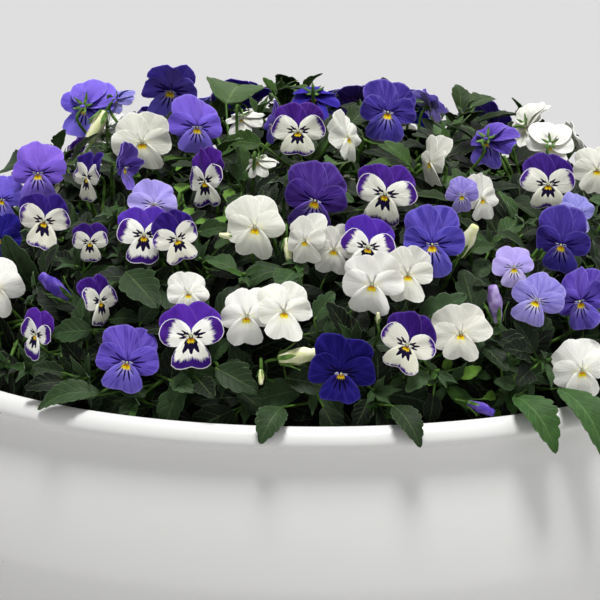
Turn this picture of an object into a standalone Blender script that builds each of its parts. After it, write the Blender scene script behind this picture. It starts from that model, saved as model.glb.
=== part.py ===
"""A round white glazed planter, filled with compost and planted with violas in five colours.

Metres, +Z up. The planter stands on the plane z = 0 with its axis on Z, and its front faces -Y.
"""

import math
import random

import bmesh
import bpy
import numpy as np
from mathutils import Matrix, Vector

# Planter
RIM_HEIGHT = 0.300
RIM_RADIUS = 0.262
LIP_ROLL = 0.0095
WALL = 0.010
BELLY_RADIUS = 0.280
BELLY_HEIGHT = 0.200
FOOT_RADIUS = 0.190
FLOOR_THICKNESS = 0.014
SEGMENTS = 32

# Compost
COMPOST_DROP = 0.026
SEAT_GAP = 0.0003
WALL_GAP = 0.0004
HOLE_DEPTH = 0.016
HOLE_CLEARANCE = 0.0006

# The mound that the blooms lie on, centred on the middle of the rim
MOUND_RADIUS = 0.256
MOUND_HEIGHT = 0.149

# The view that the pixel places below are given in: 600 pixels square, looking along +Y and down
VIEW_DISTANCE = 2.6
VIEW_PITCH = math.radians(13.44)
VIEW_AIM = Vector((-0.0103, 0.0, 0.3130))
PIXELS_PER_SLOPE = 4062.0
FRAME = 600

# Blooms, leaves and stems. A leaf's breadth is a share of its length, the valleys between petals and
# the hub of the stalk are in bloom widths, and the sides of a stalk are in degrees.
BLOOM_WIDTH = 0.035
PETAL_THICKNESS = 0.0014
LEAF_THICKNESS = 0.0015
LEAF_LENGTH = 0.036
LEAF_BREADTH = 0.56
STEM_RADIUS = 0.0021
STALK_RADIUS = 0.0011
PETIOLE_RADIUS = 0.0010
MORE_BLOOMS = 43
LEAVES_PER_SHOOT = 1
MOST_BLOOMS_PER_SHOOT = 5
SHOOT_REACH = 0.110
SPACING = 0.039
STALK_SIDES = (0, 128, 232)
HUB = 0.05
VALLEY = 0.17
SEED = 11

# A bloom's petals, clockwise from the top: the angles of the axis and of the valleys beside it in
# degrees, then the reach, breadth and layer in bloom widths
PETALS = (
    (24, 0, 50, 0.68, 0.54, -0.045),
    (82, 50, 128, 0.50, 0.44, 0.000),
    (180, 128, 232, 0.48, 0.62, 0.055),
    (278, 232, 310, 0.50, 0.44, 0.012),
    (336, 310, 360, 0.68, 0.54, -0.090),
)

# Blooms: colour, the pixel of the eye, the width in pixels, then the turn to the right, the tilt up
# and the roll anticlockwise from facing the view, in degrees. Each gives way to those before it.
BLOOMS = (
    ("bicolour", 191, 337, 69, -4, 4, 5),
    ("white", 247, 317, 55, -8, 2, 0),
    ("white", 284, 312, 56, 8, 4, 3),
    ("violet", 127, 363, 65, -5, 0, -9),
    ("dark", 341, 373, 66, 4, -30, -4),
    ("bicolour", 407, 346, 60, 0, 4, -20),
    ("white", 461, 334, 58, -10, 6, 8),
    ("white", 582, 371, 58, 12, -4, 10),
    ("lavender", 537, 301, 54, 0, 2, -25),
    ("violet", 581, 302, 62, -34, 0, 14),
    ("lavender", 514, 268, 43, 5, 4, 4),
    ("violet", 561, 245, 58, -4, -12, -6),
    ("bicolour", 548, 185, 57, 4, 4, 0),
    ("bicolour", 368, 248, 58, 4, 6, -8),
    ("violet", 432, 245, 66, 4, 2, 2),
    ("white", 372, 285, 60, 2, -6, 0),
    ("white", 408, 275, 52, 10, 0, 0),
    ("white", 334, 250, 48, -6, 0, 0),
    ("white", 305, 241, 46, -32, 0, 0),
    ("bicolour", 385, 195, 64, -8, 6, -6),
    ("violet", 315, 201, 67, 0, -8, -8),
    ("white", 255, 228, 60, 0, 4, 2),
    ("bicolour", 144, 236, 60, -2, 4, 0),
    ("bicolour", 177, 240, 52, 16, 4, 16),
    ("lavender", 154, 205, 50, 6, 8, 0),
    ("bicolour", 44, 222, 56, -6, 4, -4),
    ("bicolour", 90, 243, 40, -18, 0, 4),
    ("bicolour", 100, 302, 52, 48, -6, 8),
    ("white", 188, 294, 42, 4, 12, 0),
    ("bicolour", 36, 335, 48, -52, -10, -14),
    ("white", -4, 288, 58, 8, 0, 0),
    ("violet", 38, 174, 56, -4, 8, 0),
    ("violet", 2, 200, 44, -20, 8, 0),
    ("dark", 0, 240, 42, -14, 0, 0),
    ("white", 142, 143, 58, 0, 6, 0),
    ("violet", 197, 128, 56, 10, 8, -4),
    ("violet", 171, 91, 65, -14, -30, -12),
    ("violet", 86, 108, 58, 158, 4, 20),
    ("lavender", 118, 99, 36, 112, 0, 0),
    ("bicolour", 87, 178, 50, -62, -4, 0),
    ("violet", 124, 168, 48, 62, -8, 0),
    ("bicolour", 205, 182, 56, -46, -12, 8),
    ("white", 243, 118, 42, 156, -48, 0),
    ("white", 259, 161, 40, 150, -50, 0),
    ("bicolour", 298, 132, 56, -4, 6, 0),
    ("dark", 314, 96, 58, 172, -48, 0),
    ("violet", 272, 125, 38, -76, 0, 0),
    ("white", 348, 138, 50, 58, 0, 0),
    ("violet", 388, 113, 60, 0, 8, -4),
    ("white", 430, 163, 50, -58, 0, 0),
    ("lavender", 462, 196, 35, 0, 4, 0),
    ("white", 482, 199, 44, 48, 0, 0),
    ("violet", 489, 141, 58, 156, 0, 12),
    ("lavender", 578, 214, 42, 34, 4, 0),
    ("white", 528, 126, 50, 118, 0, 0),
    ("white", 551, 145, 48, 168, 6, 0),
    ("white", 579, 148, 48, 96, 6, 0),
    ("white", 597, 170, 48, 14, 10, 0),
)

# Buds: colour, the pixel of the middle, the length in pixels and the way its tip points in the view,
# in degrees anticlockwise from upright
BUDS = (
    ("white", 227, 236, 17, 80),
    ("white", 288, 249, 24, 185),
    ("white", 299, 356, 44, -82),
    ("white", 261, 377, 16, 180),
    ("white", 378, 318, 12, 0),
    ("lavender", 495, 304, 40, 8),
    ("white", 467, 241, 38, -28),
    ("violet", 55, 287, 40, 50),
    ("white", 97, 127, 38, 150),
    ("violet", 481, 408, 30, -112),
)

# Leaves that show: the pixels of the blade's base and tip, and how far behind the mound they lie
LEAVES = (
    (126, 272, 158, 308, 0.010),
    (92, 330, 52, 334, 0.010),
    (140, 324, 160, 300, 0.012),
    (216, 368, 258, 392, 0.004),
    (222, 372, 250, 366, 0.010),
    (286, 378, 330, 388, 0.006),
    (314, 320, 334, 292, 0.014),
    (376, 326, 374, 350, 0.010),
    (468, 250, 494, 246, 0.016),
    (198, 232, 228, 226, 0.016),
    (262, 144, 226, 140, 0.014),
    (226, 104, 240, 86, 0.006),
    (334, 104, 344, 70, 0.006),
    (350, 124, 366, 110, 0.010),
    (428, 372, 406, 392, 0.006),
    (444, 372, 420, 384, 0.008),
    (514, 386, 494, 382, 0.006),
    (512, 394, 534, 386, 0.006),
    (98, 396, 66, 386, 0.004),
    (120, 384, 146, 396, 0.004),
    (20, 164, 4, 170, 0.012),
    (60, 376, 34, 372, 0.006),
    (558, 222, 596, 236, 0.018),
    (170, 380, 196, 392, 0.008),
)

# Leaves over the lip: the pixel column, the length and breadth in metres, and the lean in degrees
RIM_LEAVES = (
    (86, 0.040, 0.016, 62),
    (280, 0.029, 0.017, 22),
    (398, 0.033, 0.016, -20),
    (528, 0.046, 0.023, -11),
    (577, 0.056, 0.024, -3),
)

COLOURS = {
    "planter": ("#F1F1EE", 0.12),
    "compost": ("#2A211B", 0.95),
    "violet": ("#5643B4", 0.60),
    "lavender": ("#9C93DE", 0.60),
    "white": ("#F1F2EA", 0.60),
    "bicolour": ("#6A3FA0", 0.60),
    "dark": ("#35198A", 0.60),
}


def linear(hex_colour):
    """A linear RGBA colour from sRGB hex."""
    parts = [int(hex_colour[k : k + 2], 16) / 255 for k in (1, 3, 5)]
    return [p / 12.92 if p <= 0.04045 else ((p + 0.055) / 1.055) ** 2.4 for p in parts] + [1.0]


def material(name):
    """A plain finish in the part's colour."""
    colour, roughness = COLOURS[name]
    made = bpy.data.materials.get(name) or bpy.data.materials.new(name)
    made.use_nodes = True
    shader = made.node_tree.nodes["Principled BSDF"]
    shader.inputs["Base Color"].default_value = linear(colour)
    shader.inputs["Roughness"].default_value = roughness
    shader.inputs["Metallic"].default_value = 0.0
    return made


def sight_line(x, y):
    """The eye and the direction that the pixel looks in."""
    ahead = Vector((0.0, math.cos(VIEW_PITCH), -math.sin(VIEW_PITCH)))
    up = Vector((0.0, math.sin(VIEW_PITCH), math.cos(VIEW_PITCH)))
    across = (x - FRAME / 2) / PIXELS_PER_SLOPE
    above = (FRAME / 2 - y) / PIXELS_PER_SLOPE
    ray = ahead + Vector((across, 0.0, 0.0)) + up * above
    return VIEW_AIM - ahead * VIEW_DISTANCE, ray.normalized()


def pixel_of(point):
    """The pixel at which a point shows."""
    ahead = Vector((0.0, math.cos(VIEW_PITCH), -math.sin(VIEW_PITCH)))
    up = Vector((0.0, math.sin(VIEW_PITCH), math.cos(VIEW_PITCH)))
    away = point - (VIEW_AIM - ahead * VIEW_DISTANCE)
    scale = PIXELS_PER_SLOPE / away.dot(ahead)
    return FRAME / 2 + away.x * scale, FRAME / 2 - away.dot(up) * scale


def on_mound(x, y, behind=0.0):
    """The point of the mound that a pixel shows, moved back along the sight line.

    Past the mound's edge it is the point of the sight line nearest to the mound.
    """
    eye, ray = sight_line(x, y)
    sizes = Vector((MOUND_RADIUS, MOUND_RADIUS, MOUND_HEIGHT))
    start = eye - Vector((0.0, 0.0, RIM_HEIGHT))
    start = Vector([a / b for a, b in zip(start, sizes)])
    step = Vector([a / b for a, b in zip(ray, sizes)])
    middle = -start.dot(step) / step.dot(step)
    inside = middle * middle - (start.dot(start) - 1) / step.dot(step)
    return eye + ray * (middle - math.sqrt(max(inside, 0.0)) + behind)


def real_length(pixels, point):
    """The real length of a stretch of the view at a point."""
    eye, _ = sight_line(FRAME / 2, FRAME / 2)
    return pixels * (point - eye).length / PIXELS_PER_SLOPE


def turned(out, upright, yaw, pitch, roll):
    """Axes whose third faces out, turned by yaw, pitch and roll in degrees."""
    out = out.normalized()
    side = upright.cross(out).normalized()
    axes = Matrix((side, out.cross(side), out)).transposed()
    axes = axes @ Matrix.Rotation(math.radians(yaw), 3, "Y")
    axes = axes @ Matrix.Rotation(math.radians(-pitch), 3, "X")
    return axes @ Matrix.Rotation(math.radians(roll), 3, "Z")


def petal_point(petal, u, v, most_angle=None):
    """A point of a petal in bloom widths: u runs from the claw to the tip, v from side to side."""
    angle, _, _, reach, breadth, layer = petal
    along = reach * u * (1 - 0.05 * v * v)
    spread = max(1 - abs(2 * u**1.5 - 1) ** 2.4, 0.0) ** (1 / 2.4)
    half = 0.5 * breadth * spread * min(u / 0.5, 1.0)
    if most_angle is not None:
        half = min(half, along * math.tan(math.radians(most_angle)))
    turn = math.radians(angle)
    x = along * math.sin(turn) + v * half * math.cos(turn)
    y = along * math.cos(turn) - v * half * math.sin(turn)
    curl = -0.10 * (along * along) + 0.04 * u * v * v
    return Vector((x, y, layer * min(u / 0.45, 1.0) + curl))


def bloom_envelope(bloom):
    """Balls that cover a bloom, for keeping others clear of it."""
    inner = [
        petal_point(petal, u, v)
        for petal in PETALS
        for u in (0.34, 0.62, 0.92)
        for v in (-0.75, 0.0, 0.75)
    ]
    inner += [Vector((0, 0, 0)), Vector((0, 0, -0.12))]
    width = bloom["width"]
    points = [bloom["place"] + bloom["axes"] @ (p * width) for p in inner]
    return points, [0.072 * width] * len(points)


def bud_envelope(bud):
    """Balls along a bud."""
    points = [bud["place"] + bud["axes"] @ Vector((0, 0, bud["width"] * k / 6)) for k in range(7)]
    return points, [0.2 * bud["width"]] * len(points)


def line_envelope(path, radius):
    """Balls along a path."""
    points = []
    for a, b in zip(path, path[1:]):
        steps = max(int((b - a).length / 0.004), 1)
        points += [a.lerp(b, k / steps) for k in range(steps + 1)]
    return points, [radius] * len(points)


def blade_axes(leaf):
    """The way along a blade, its side and its face."""
    along = leaf["tip"] - leaf["base"]
    side = along.cross(leaf["face"]).normalized()
    return along, side, side.cross(along).normalized()


def blade_point(leaf, u, v):
    """A point of a blade: u runs from its base to its tip and v from side to side."""
    along, side, face = blade_axes(leaf)
    half = 0.5 * leaf["breadth"] * math.sin(math.pi * u**0.8) ** 0.8 if 0 < u < 1 else 0.0
    droop = leaf["droop"] * along.length * (u - u * u) * 4
    fold = 0.28 * half * v * v
    return leaf["base"] + along * u + side * (v * half) + face * (droop + fold)


def leaf_envelope(leaf):
    """Balls that cover a blade and its stalk."""
    rows = ((0.12, 1), (0.3, 3), (0.5, 3), (0.7, 3), (0.88, 3), (1.0, 1))
    points = []
    for u, count in rows:
        points += [blade_point(leaf, u, v) for v in ((0,) if count == 1 else (-0.85, 0, 0.85))]
    more, _ = line_envelope([leaf["foot"].lerp(leaf["base"], 0.12), leaf["base"]], 0)
    size = 0.1 * leaf["breadth"] + 0.0004
    return points + more, [size] * len(points) + [PETIOLE_RADIUS + 0.0003] * len(more)


class Room:
    """What space is taken, as balls that each belong to a numbered thing."""

    def __init__(self):
        self.points = np.zeros((0, 3))
        self.radii = np.zeros(0)
        self.owners = np.zeros(0, int)

    def clear(self, envelope, ignored=(), gap=0.0008):
        points = np.array([tuple(p) for p in envelope[0]])
        radii = np.array(envelope[1])
        reach = 0.008
        near = ((self.points > points.min(0) - reach) & (self.points < points.max(0) + reach)).all(1)
        near &= ~np.isin(self.owners, list(ignored))
        if not near.any():
            return True
        apart = np.linalg.norm(points[:, None] - self.points[near][None], axis=2)
        return bool((apart - radii[:, None] - self.radii[near][None] > gap).all())

    def take(self, envelope, owner):
        self.points = np.vstack([self.points, [tuple(p) for p in envelope[0]]])
        self.radii = np.append(self.radii, envelope[1])
        self.owners = np.append(self.owners, [owner] * len(envelope[1]))


def inside_pot(points):
    """True where nothing dips into the compost, the wall or the lip."""
    for p in points:
        outward = math.hypot(p.x, p.y)
        if p.z < RIM_HEIGHT - COMPOST_DROP + 0.003:
            return False
        if p.z < RIM_HEIGHT + 0.005 and outward > RIM_RADIUS - 0.012:
            return False
    return True


def place_photo_blooms(room):
    """The blooms that the view shows, each moved back until it is clear of those before it."""
    placed = []
    for kind, x, y, pixels, yaw, pitch, roll in BLOOMS:
        for step in range(40):
            behind = 0.0015 * step
            place = on_mound(x, y, behind)
            eye, _ = sight_line(x, y)
            axes = turned(eye - place, Vector((0, 0, 1)), yaw, pitch, roll)
            bloom = dict(kind=kind, place=place, axes=axes, width=real_length(pixels, place))
            if room.clear(bloom_envelope(bloom)):
                break
        room.take(bloom_envelope(bloom), len(placed))
        placed.append(bloom)
    return placed


def place_buds(room, placed):
    """The buds, which nod on their stalks among the blooms."""
    for kind, x, y, pixels, lean in BUDS:
        for step in range(30):
            place = on_mound(x, y, 0.004 + 0.002 * step)
            eye, _ = sight_line(x, y)
            view = turned(eye - place, Vector((0, 0, 1)), 0, 0, 0)
            tip = view @ Vector((-math.sin(math.radians(lean)), math.cos(math.radians(lean)), 0.25))
            axes = turned(tip, view @ Vector((0.3, 0.1, 1)), 0, 0, 0)
            length = real_length(pixels, place)
            bud = dict(kind=kind, place=place - axes.col[2] * length / 2, axes=axes, width=length)
            bud["closed"] = True
            if room.clear(bud_envelope(bud)):
                break
        else:
            continue
        room.take(bud_envelope(bud), len(placed))
        placed.append(bud)


def shown(point):
    """True if the view shows this point of the mound."""
    x, y = pixel_of(point)
    eye, _ = sight_line(x, y)
    out = Vector((point.x / MOUND_RADIUS**2, point.y / MOUND_RADIUS**2,
                  (point.z - RIM_HEIGHT) / MOUND_HEIGHT**2))
    return -6 < x < FRAME + 6 and out.normalized().dot((eye - point).normalized()) > -0.02


def past_outline(points):
    """True if the view shows one of the points more than 6 pixels above the mound's outline."""
    for point in points:
        x, y = pixel_of(point)
        on_or_near = on_mound(x, y + 6) - Vector((0, 0, RIM_HEIGHT))
        flat, high = on_or_near.xy.length / MOUND_RADIUS, on_or_near.z / MOUND_HEIGHT
        if -6 < x < FRAME + 6 and flat * flat + high * high > 1.002:
            return True
    return False


def place_more_blooms(room, placed, draw):
    """Blooms on the sides and the back, facing out and a little up, evenly apart."""
    kinds = ("violet", "white", "bicolour", "violet", "white", "bicolour", "lavender", "dark")
    made = 0
    for _ in range(6000):
        if made == MORE_BLOOMS:
            break
        height = draw.uniform(0.10, 1.0)
        turn = draw.uniform(0, 2 * math.pi)
        flat = MOUND_RADIUS * math.sqrt(1 - height * height)
        place = Vector((flat * math.cos(turn), flat * math.sin(turn),
                        RIM_HEIGHT + MOUND_HEIGHT * height))
        place = place + Vector((0, 0, draw.uniform(-0.008, 0.002)))
        if shown(place) or any((place - b["place"]).length < SPACING for b in placed):
            continue
        out = Vector((math.cos(turn), math.sin(turn), 0.25 + 0.8 * height**3))
        yaw, pitch, roll = draw.gauss(0, 14), draw.gauss(0, 9), draw.gauss(0, 9)
        axes = turned(out, Vector((0, 0, 1)), yaw, pitch, roll)
        kind = kinds[made % len(kinds)]
        width = BLOOM_WIDTH * draw.uniform(0.92, 1.12) * (0.8 if kind == "lavender" else 1)
        bloom = dict(kind=kind, place=place, axes=axes, width=width)
        envelope = bloom_envelope(bloom)
        for _ in range(4):
            if past_outline(envelope[0]):
                bloom["place"] = bloom["place"] - Vector((0, 0, 0.004))
                envelope = bloom_envelope(bloom)
        if past_outline(envelope[0]):
            continue
        if inside_pot(envelope[0]) and room.clear(envelope):
            room.take(envelope, len(placed))
            placed.append(bloom)
            made += 1


def gather_shoots(placed):
    """Groups of neighbouring blooms of one colour, each group on one leafy shoot."""
    left = sorted(range(len(placed)), key=lambda k: placed[k]["place"].length)
    shoots = []
    while left:
        first = left.pop()
        kind = placed[first]["kind"]
        group = [first]
        while len(group) < MOST_BLOOMS_PER_SHOOT:
            middle = sum((placed[k]["place"] for k in group), Vector()) / len(group)
            near = [
                k for k in left
                if placed[k]["kind"] == kind and (placed[k]["place"] - middle).length < SHOOT_REACH
            ]
            if not near:
                break
            nearest = min(near, key=lambda k: (placed[k]["place"] - middle).length)
            group.append(nearest)
            left.remove(nearest)
        shoots.append(dict(kind=kind, blooms=group))
    return shoots


def stem_of(shoot, placed, bases):
    """The main stem: from its hole in the compost to a little under the shoot's blooms."""
    middle = sum((placed[k]["place"] for k in shoot["blooms"]), Vector()) / len(shoot["blooms"])
    floor = RIM_HEIGHT - COMPOST_DROP
    for k in range(400):
        ring = 0.004 * math.sqrt(k)
        base = Vector((middle.x * 0.70 + ring * math.cos(2.4 * k),
                       middle.y * 0.70 + ring * math.sin(2.4 * k), floor))
        if all((base - other).length > 0.016 for other in bases) and base.xy.length < 0.225:
            break
    bases.append(base)
    top = base.lerp(Vector((middle.x * 0.93, middle.y * 0.93, middle.z)), 0.58)
    bend = base.lerp(top, 0.5) + Vector((0, 0, 0.006))
    return [base - Vector((0, 0, HOLE_DEPTH - SEAT_GAP)), base + Vector((0, 0, 0.002)), bend, top]


def stem_place(stem, share):
    """A place on the stem above the compost, by its share of the height."""
    return stem[1].lerp(stem[2], 2 * share) if share < 0.5 else stem[2].lerp(stem[3], 2 * share - 1)


def stalk_of(shoot, rank, bloom, room, ignored, draw):
    """A stalk that leaves the stem, rises behind the bloom and hooks over to its back."""
    out = bloom["axes"].col[2]
    back = bloom["place"] - out * (0.08 * bloom["width"] if "closed" not in bloom else 0)
    best = None
    for attempt in range(200):
        share = min(max(0.5 + 0.12 * rank + draw.uniform(-0.1, 0.1), 0.2), 0.98)
        fork = stem_place(shoot["stem"], share)
        loose = 0.0003 * attempt
        low = Vector((draw.uniform(-loose, loose), draw.uniform(-loose, loose), -0.004 - loose / 3))
        behind = back - out * draw.uniform(0.006, 0.010) + low * 0.3
        bow = fork.lerp(behind, draw.uniform(0.4, 0.7))
        bow += Vector((draw.uniform(-loose, loose), draw.uniform(-loose, loose), -0.006))
        path = [fork, bow, behind, back]
        if (bow - behind).dot(back - behind) > -0.1 * (bow - behind).length * (back - behind).length:
            path.insert(2, behind + low * 0.6 + Vector((0, 0, -0.007)) - out * 0.001)
        start = fork.lerp(bow, min(0.004 / (bow - fork).length, 0.5))
        free = line_envelope([start] + path[1:], STALK_RADIUS + 0.0002)
        far = [p for p in free[0] if (p - back).length > 0.009]
        if not inside_pot(free[0]) or not room.clear(free, ignored, 0.0003):
            continue
        if room.clear((far, [STALK_RADIUS] * len(far)), shoot["stem_owner"], 0.0):
            return path, free
        best = best or (path, free)
    return best or (path, free)


def rim_leaf(column, length, breadth, lean, shoots):
    """A leaf whose blade hangs over the lip at a pixel column."""
    across = (column - FRAME / 2) / PIXELS_PER_SLOPE * (VIEW_DISTANCE - RIM_RADIUS) + VIEW_AIM.x
    turn = math.asin(across / (RIM_RADIUS + 0.004))
    out = Vector((math.sin(turn), -math.cos(turn), 0))
    base = out * (RIM_RADIUS - 0.008) + Vector((0, 0, RIM_HEIGHT + 0.0095))
    slant = math.radians(lean)
    flat = Vector((0, 0, 1)).cross(out)
    over = (out * 0.74 - Vector((0, 0, 0.62))) * math.cos(slant) - flat * math.sin(slant)
    stem = min((s["stem"] for s in shoots), key=lambda s: (s[3] - base).length)
    foot = min((stem_place(stem, k / 10) for k in range(2, 10)), key=lambda p: (p - base).length)
    return dict(base=base, tip=base + over * length, face=out + Vector((0, 0, 1.2)),
                breadth=breadth, droop=0.17, foot=foot)


def owner_of(shoots, foot):
    """The number of the shoot whose stem the foot stands on."""
    def apart(number):
        return min((stem_place(shoots[number]["stem"], k / 20) - foot).length for k in range(21))

    return min(range(len(shoots)), key=apart)


def place_leaves(room, shoots, first_owner, draw):
    """The leaves over the lip, those that the view shows, and more all round."""
    number = first_owner
    for row in RIM_LEAVES:
        leaf = rim_leaf(*row, shoots)
        shoot = shoots[owner_of(shoots, leaf["foot"])]
        room.take(leaf_envelope(leaf), number)
        shoot["leaves"].append(leaf)
        number += 1
    for x0, y0, x1, y1, behind in LEAVES:
        for step in range(24):
            deep = behind + 0.0015 * step
            base = on_mound(x0, y0, deep)
            tip = on_mound(x1, y1, deep - 0.004)
            eye, _ = sight_line(x0, y0)
            ends = sorted(shoots, key=lambda s: (s["stem"][3] - base).length)[:6]
            for shoot in ends:
                foot = min((stem_place(shoot["stem"], k / 10) for k in range(2, 11)),
                           key=lambda p: (p - base).length)
                if (base - foot).dot(tip - base) < 0.1 * (base - foot).length * (tip - base).length:
                    continue
                leaf = dict(base=base, tip=tip, face=(eye - base).normalized() + Vector((0, 0, 0.4)),
                            breadth=LEAF_BREADTH * (tip - base).length, droop=0.06, foot=foot)
                envelope = leaf_envelope(leaf)
                if inside_pot(envelope[0]) and room.clear(envelope, shoot["stem_owner"]):
                    break
            else:
                continue
            room.take(envelope, number)
            shoot["leaves"].append(leaf)
            number += 1
            break
    for shoot in shoots:
        wanted = LEAVES_PER_SHOOT - min(len(shoot["leaves"]), 1)
        for _ in range(260):
            if wanted <= 0:
                break
            foot = stem_place(shoot["stem"], draw.uniform(0.35, 1.0))
            way = Vector((draw.gauss(0, 1), draw.gauss(0, 1), draw.uniform(0.1, 1.4))).normalized()
            away = Vector((foot.x, foot.y, 0))
            way = (way + away.normalized() * 0.5 * min(away.length / 0.1, 1.0)).normalized()
            base = foot + way * draw.uniform(0.010, 0.034)
            size = LEAF_LENGTH * draw.uniform(0.75, 1.15)
            bend = Vector((draw.gauss(0, 0.25), draw.gauss(0, 0.25), draw.uniform(-0.5, 0.3)))
            tip = base + (way + bend).normalized() * size
            leaf = dict(base=base, tip=tip, face=Vector((0, 0, 1)) + away * 4 + bend * 0.3,
                        breadth=LEAF_BREADTH * size, droop=draw.uniform(0.02, 0.12), foot=foot)
            envelope = leaf_envelope(leaf)
            low = inside_pot(envelope[0])
            if low and within_mound(tip) and room.clear(envelope, shoot["stem_owner"]):
                room.take(envelope, number)
                shoot["leaves"].append(leaf)
                number += 1
                wanted -= 1


def within_mound(point):
    """True if the point is inside the mound or just at its surface."""
    flat = point.xy.length / (MOUND_RADIUS + 0.012)
    high = (point.z - RIM_HEIGHT) / (MOUND_HEIGHT + 0.010)
    return flat * flat + high * high < 1


def layout():
    """Every shoot, with its stem, blooms, stalks and leaves."""
    draw = random.Random(SEED)
    room = Room()
    placed = place_photo_blooms(room)
    place_buds(room, placed)
    place_more_blooms(room, placed, draw)
    shoots = gather_shoots(placed)
    bases = []
    for number, shoot in enumerate(shoots):
        shoot["stem"] = stem_of(shoot, placed, bases)
        shoot["leaves"] = []
        shoot["stem_owner"] = [1000 + number]
        room.take(line_envelope(shoot["stem"][1:], STEM_RADIUS + 0.0003), 1000 + number)
    for number, shoot in enumerate(shoots):
        shoot["stalks"] = []
        order = sorted(shoot["blooms"], key=lambda k: placed[k]["place"].z)
        for rank, k in enumerate(order):
            path, envelope = stalk_of(shoot, rank, placed[k], room, [k] + shoot["stem_owner"], draw)
            room.take(envelope, 2000 + number)
            shoot["stalks"].append((path, placed[k]))
    place_leaves(room, shoots, 5000, draw)
    return shoots


def new_object(name, mesh, collection, colour=None):
    made = bpy.data.objects.new(name, mesh)
    collection.objects.link(made)
    if colour:
        mesh.materials.append(material(colour))
    return made


def mesh_from(bm, name):
    bmesh.ops.recalc_face_normals(bm, faces=bm.faces)
    mesh = bpy.data.meshes.new(name)
    bm.to_mesh(mesh)
    bm.free()
    return mesh


def poked(bm, ring, middle):
    """A fan of faces from the ring to a raised middle."""
    face = bm.faces.new(ring)
    centre = bmesh.ops.poke(bm, faces=[face])["verts"][0]
    centre.co = middle


def stalk_sections(bm, path, ring, upright, turns, radius):
    """Lofts a stalk from a ring of corners down its path and closes its end."""
    steps = [(b - a).normalized() for a, b in zip(path, path[1:])]
    for number, place in enumerate(path[1:]):
        run = (steps[number] + steps[min(number + 1, len(steps) - 1)]).normalized()
        upright = (upright - run * upright.dot(run)).normalized()
        side = run.cross(upright)
        corners = [
            bm.verts.new(place + (upright * math.cos(t) + side * math.sin(t)) * radius) for t in turns
        ]
        for k in range(len(turns)):
            bm.faces.new((ring[k - 1], ring[k], corners[k], corners[k - 1]))
        ring = corners
    bm.faces.new(ring)


def bloom_mesh(bloom, path):
    """Five thin petals in their layers that grow out of the end of a stalk, as one closed body."""
    bm = bmesh.new()
    width, axes, place = bloom["width"], bloom["axes"], bloom["place"]

    def point(local):
        return bm.verts.new(place + axes @ (local * width))

    def round_hub(degrees, radius, layer):
        turn = math.radians(degrees)
        return point(Vector((radius * math.sin(turn), radius * math.cos(turn), layer)))

    eye = point(Vector((0, 0, 0.03)))
    valleys = [round_hub(petal[1], VALLEY, 0.5 * petal[5]) for petal in PETALS]
    hub = [round_hub(degrees, HUB, -0.07) for degrees in STALK_SIDES]
    backs = ((0,), (1, 0), (2, 1), (0, 2), (0,))
    for number, petal in enumerate(PETALS):
        angle, start, end = petal[:3]
        sides = []
        for way, valley in ((-1, start), (1, end)):
            reach = abs(angle - valley) - 2
            sides.append([
                point(petal_point(petal, 0.68, way, reach)),
                point(petal_point(petal, 0.95, way)),
            ])
        outline = sides[0] + sides[1][::-1]
        ring = [valleys[number]] + outline + [valleys[(number + 1) % 5]]
        middle = petal_point(petal, 0.60, 0) * width
        rise = Vector((0, 0, PETAL_THICKNESS / 2))
        poked(bm, [eye] + ring, place + axes @ (middle + rise))
        poked(bm, [hub[k] for k in backs[number]] + ring, place + axes @ (middle - rise))
    turns = [math.radians(degrees) for degrees in STALK_SIDES]
    stalk_sections(bm, path[::-1], hub, axes.col[1], turns, STALK_RADIUS)
    return mesh_from(bm, "bloom")


def bud_mesh(bud, path):
    """A pointed bud on its stalk, as one closed body."""
    bm = bmesh.new()
    length, axes, place = bud["width"], bud["axes"], bud["place"]
    turns = [math.pi / 2 * k for k in range(4)]
    tip = bm.verts.new(place + axes.col[2] * length)
    rings = []
    for share, girth in ((0.62, 0.17), (0.25, 0.19), (0.0, 0.10)):
        rings.append([
            bm.verts.new(place + axes @ Vector((girth * math.sin(t), girth * math.cos(t), share)) * length)
            for t in turns
        ])
    for k in range(4):
        bm.faces.new((tip, rings[0][k - 1], rings[0][k]))
        for upper, lower in zip(rings, rings[1:]):
            bm.faces.new((upper[k - 1], upper[k], lower[k], lower[k - 1]))
    stalk_sections(bm, path[::-1], rings[-1], axes.col[1], turns, STALK_RADIUS)
    return mesh_from(bm, "bud")


def leaf_mesh(leaf):
    """A folded blade with a cut edge on its stalk, as one closed body."""
    bm = bmesh.new()
    _, side, face = blade_axes(leaf)
    run = (leaf["base"] - leaf["foot"]).normalized()
    across = (side - run * side.dot(run)).normalized() * PETIOLE_RADIUS
    lift = across.cross(run)
    foot = [bm.verts.new(leaf["foot"] + d) for d in (lift, across, -lift, -across)]
    across, lift = side * PETIOLE_RADIUS, face * PETIOLE_RADIUS
    base = [bm.verts.new(leaf["base"] + d) for d in (lift, across, -lift, -across)]
    bm.faces.new(foot)
    for k in range(4):
        bm.faces.new((foot[k], foot[k - 1], base[k - 1], base[k]))
    cuts = ((0.28, 1.0), (0.40, 0.84), (0.60, 1.0), (0.72, 0.78))
    right = [bm.verts.new(blade_point(leaf, u, v)) for u, v in cuts]
    left = [bm.verts.new(blade_point(leaf, u, -v)) for u, v in cuts]
    tip = bm.verts.new(leaf["tip"])
    middle = blade_point(leaf, 0.45, 0)
    rise = face * LEAF_THICKNESS / 2
    ring = [base[1]] + right + [tip] + left[::-1] + [base[3]]
    poked(bm, [base[0]] + ring, middle + rise)
    poked(bm, [base[2]] + ring, middle - rise)
    return mesh_from(bm, "leaf")


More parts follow.
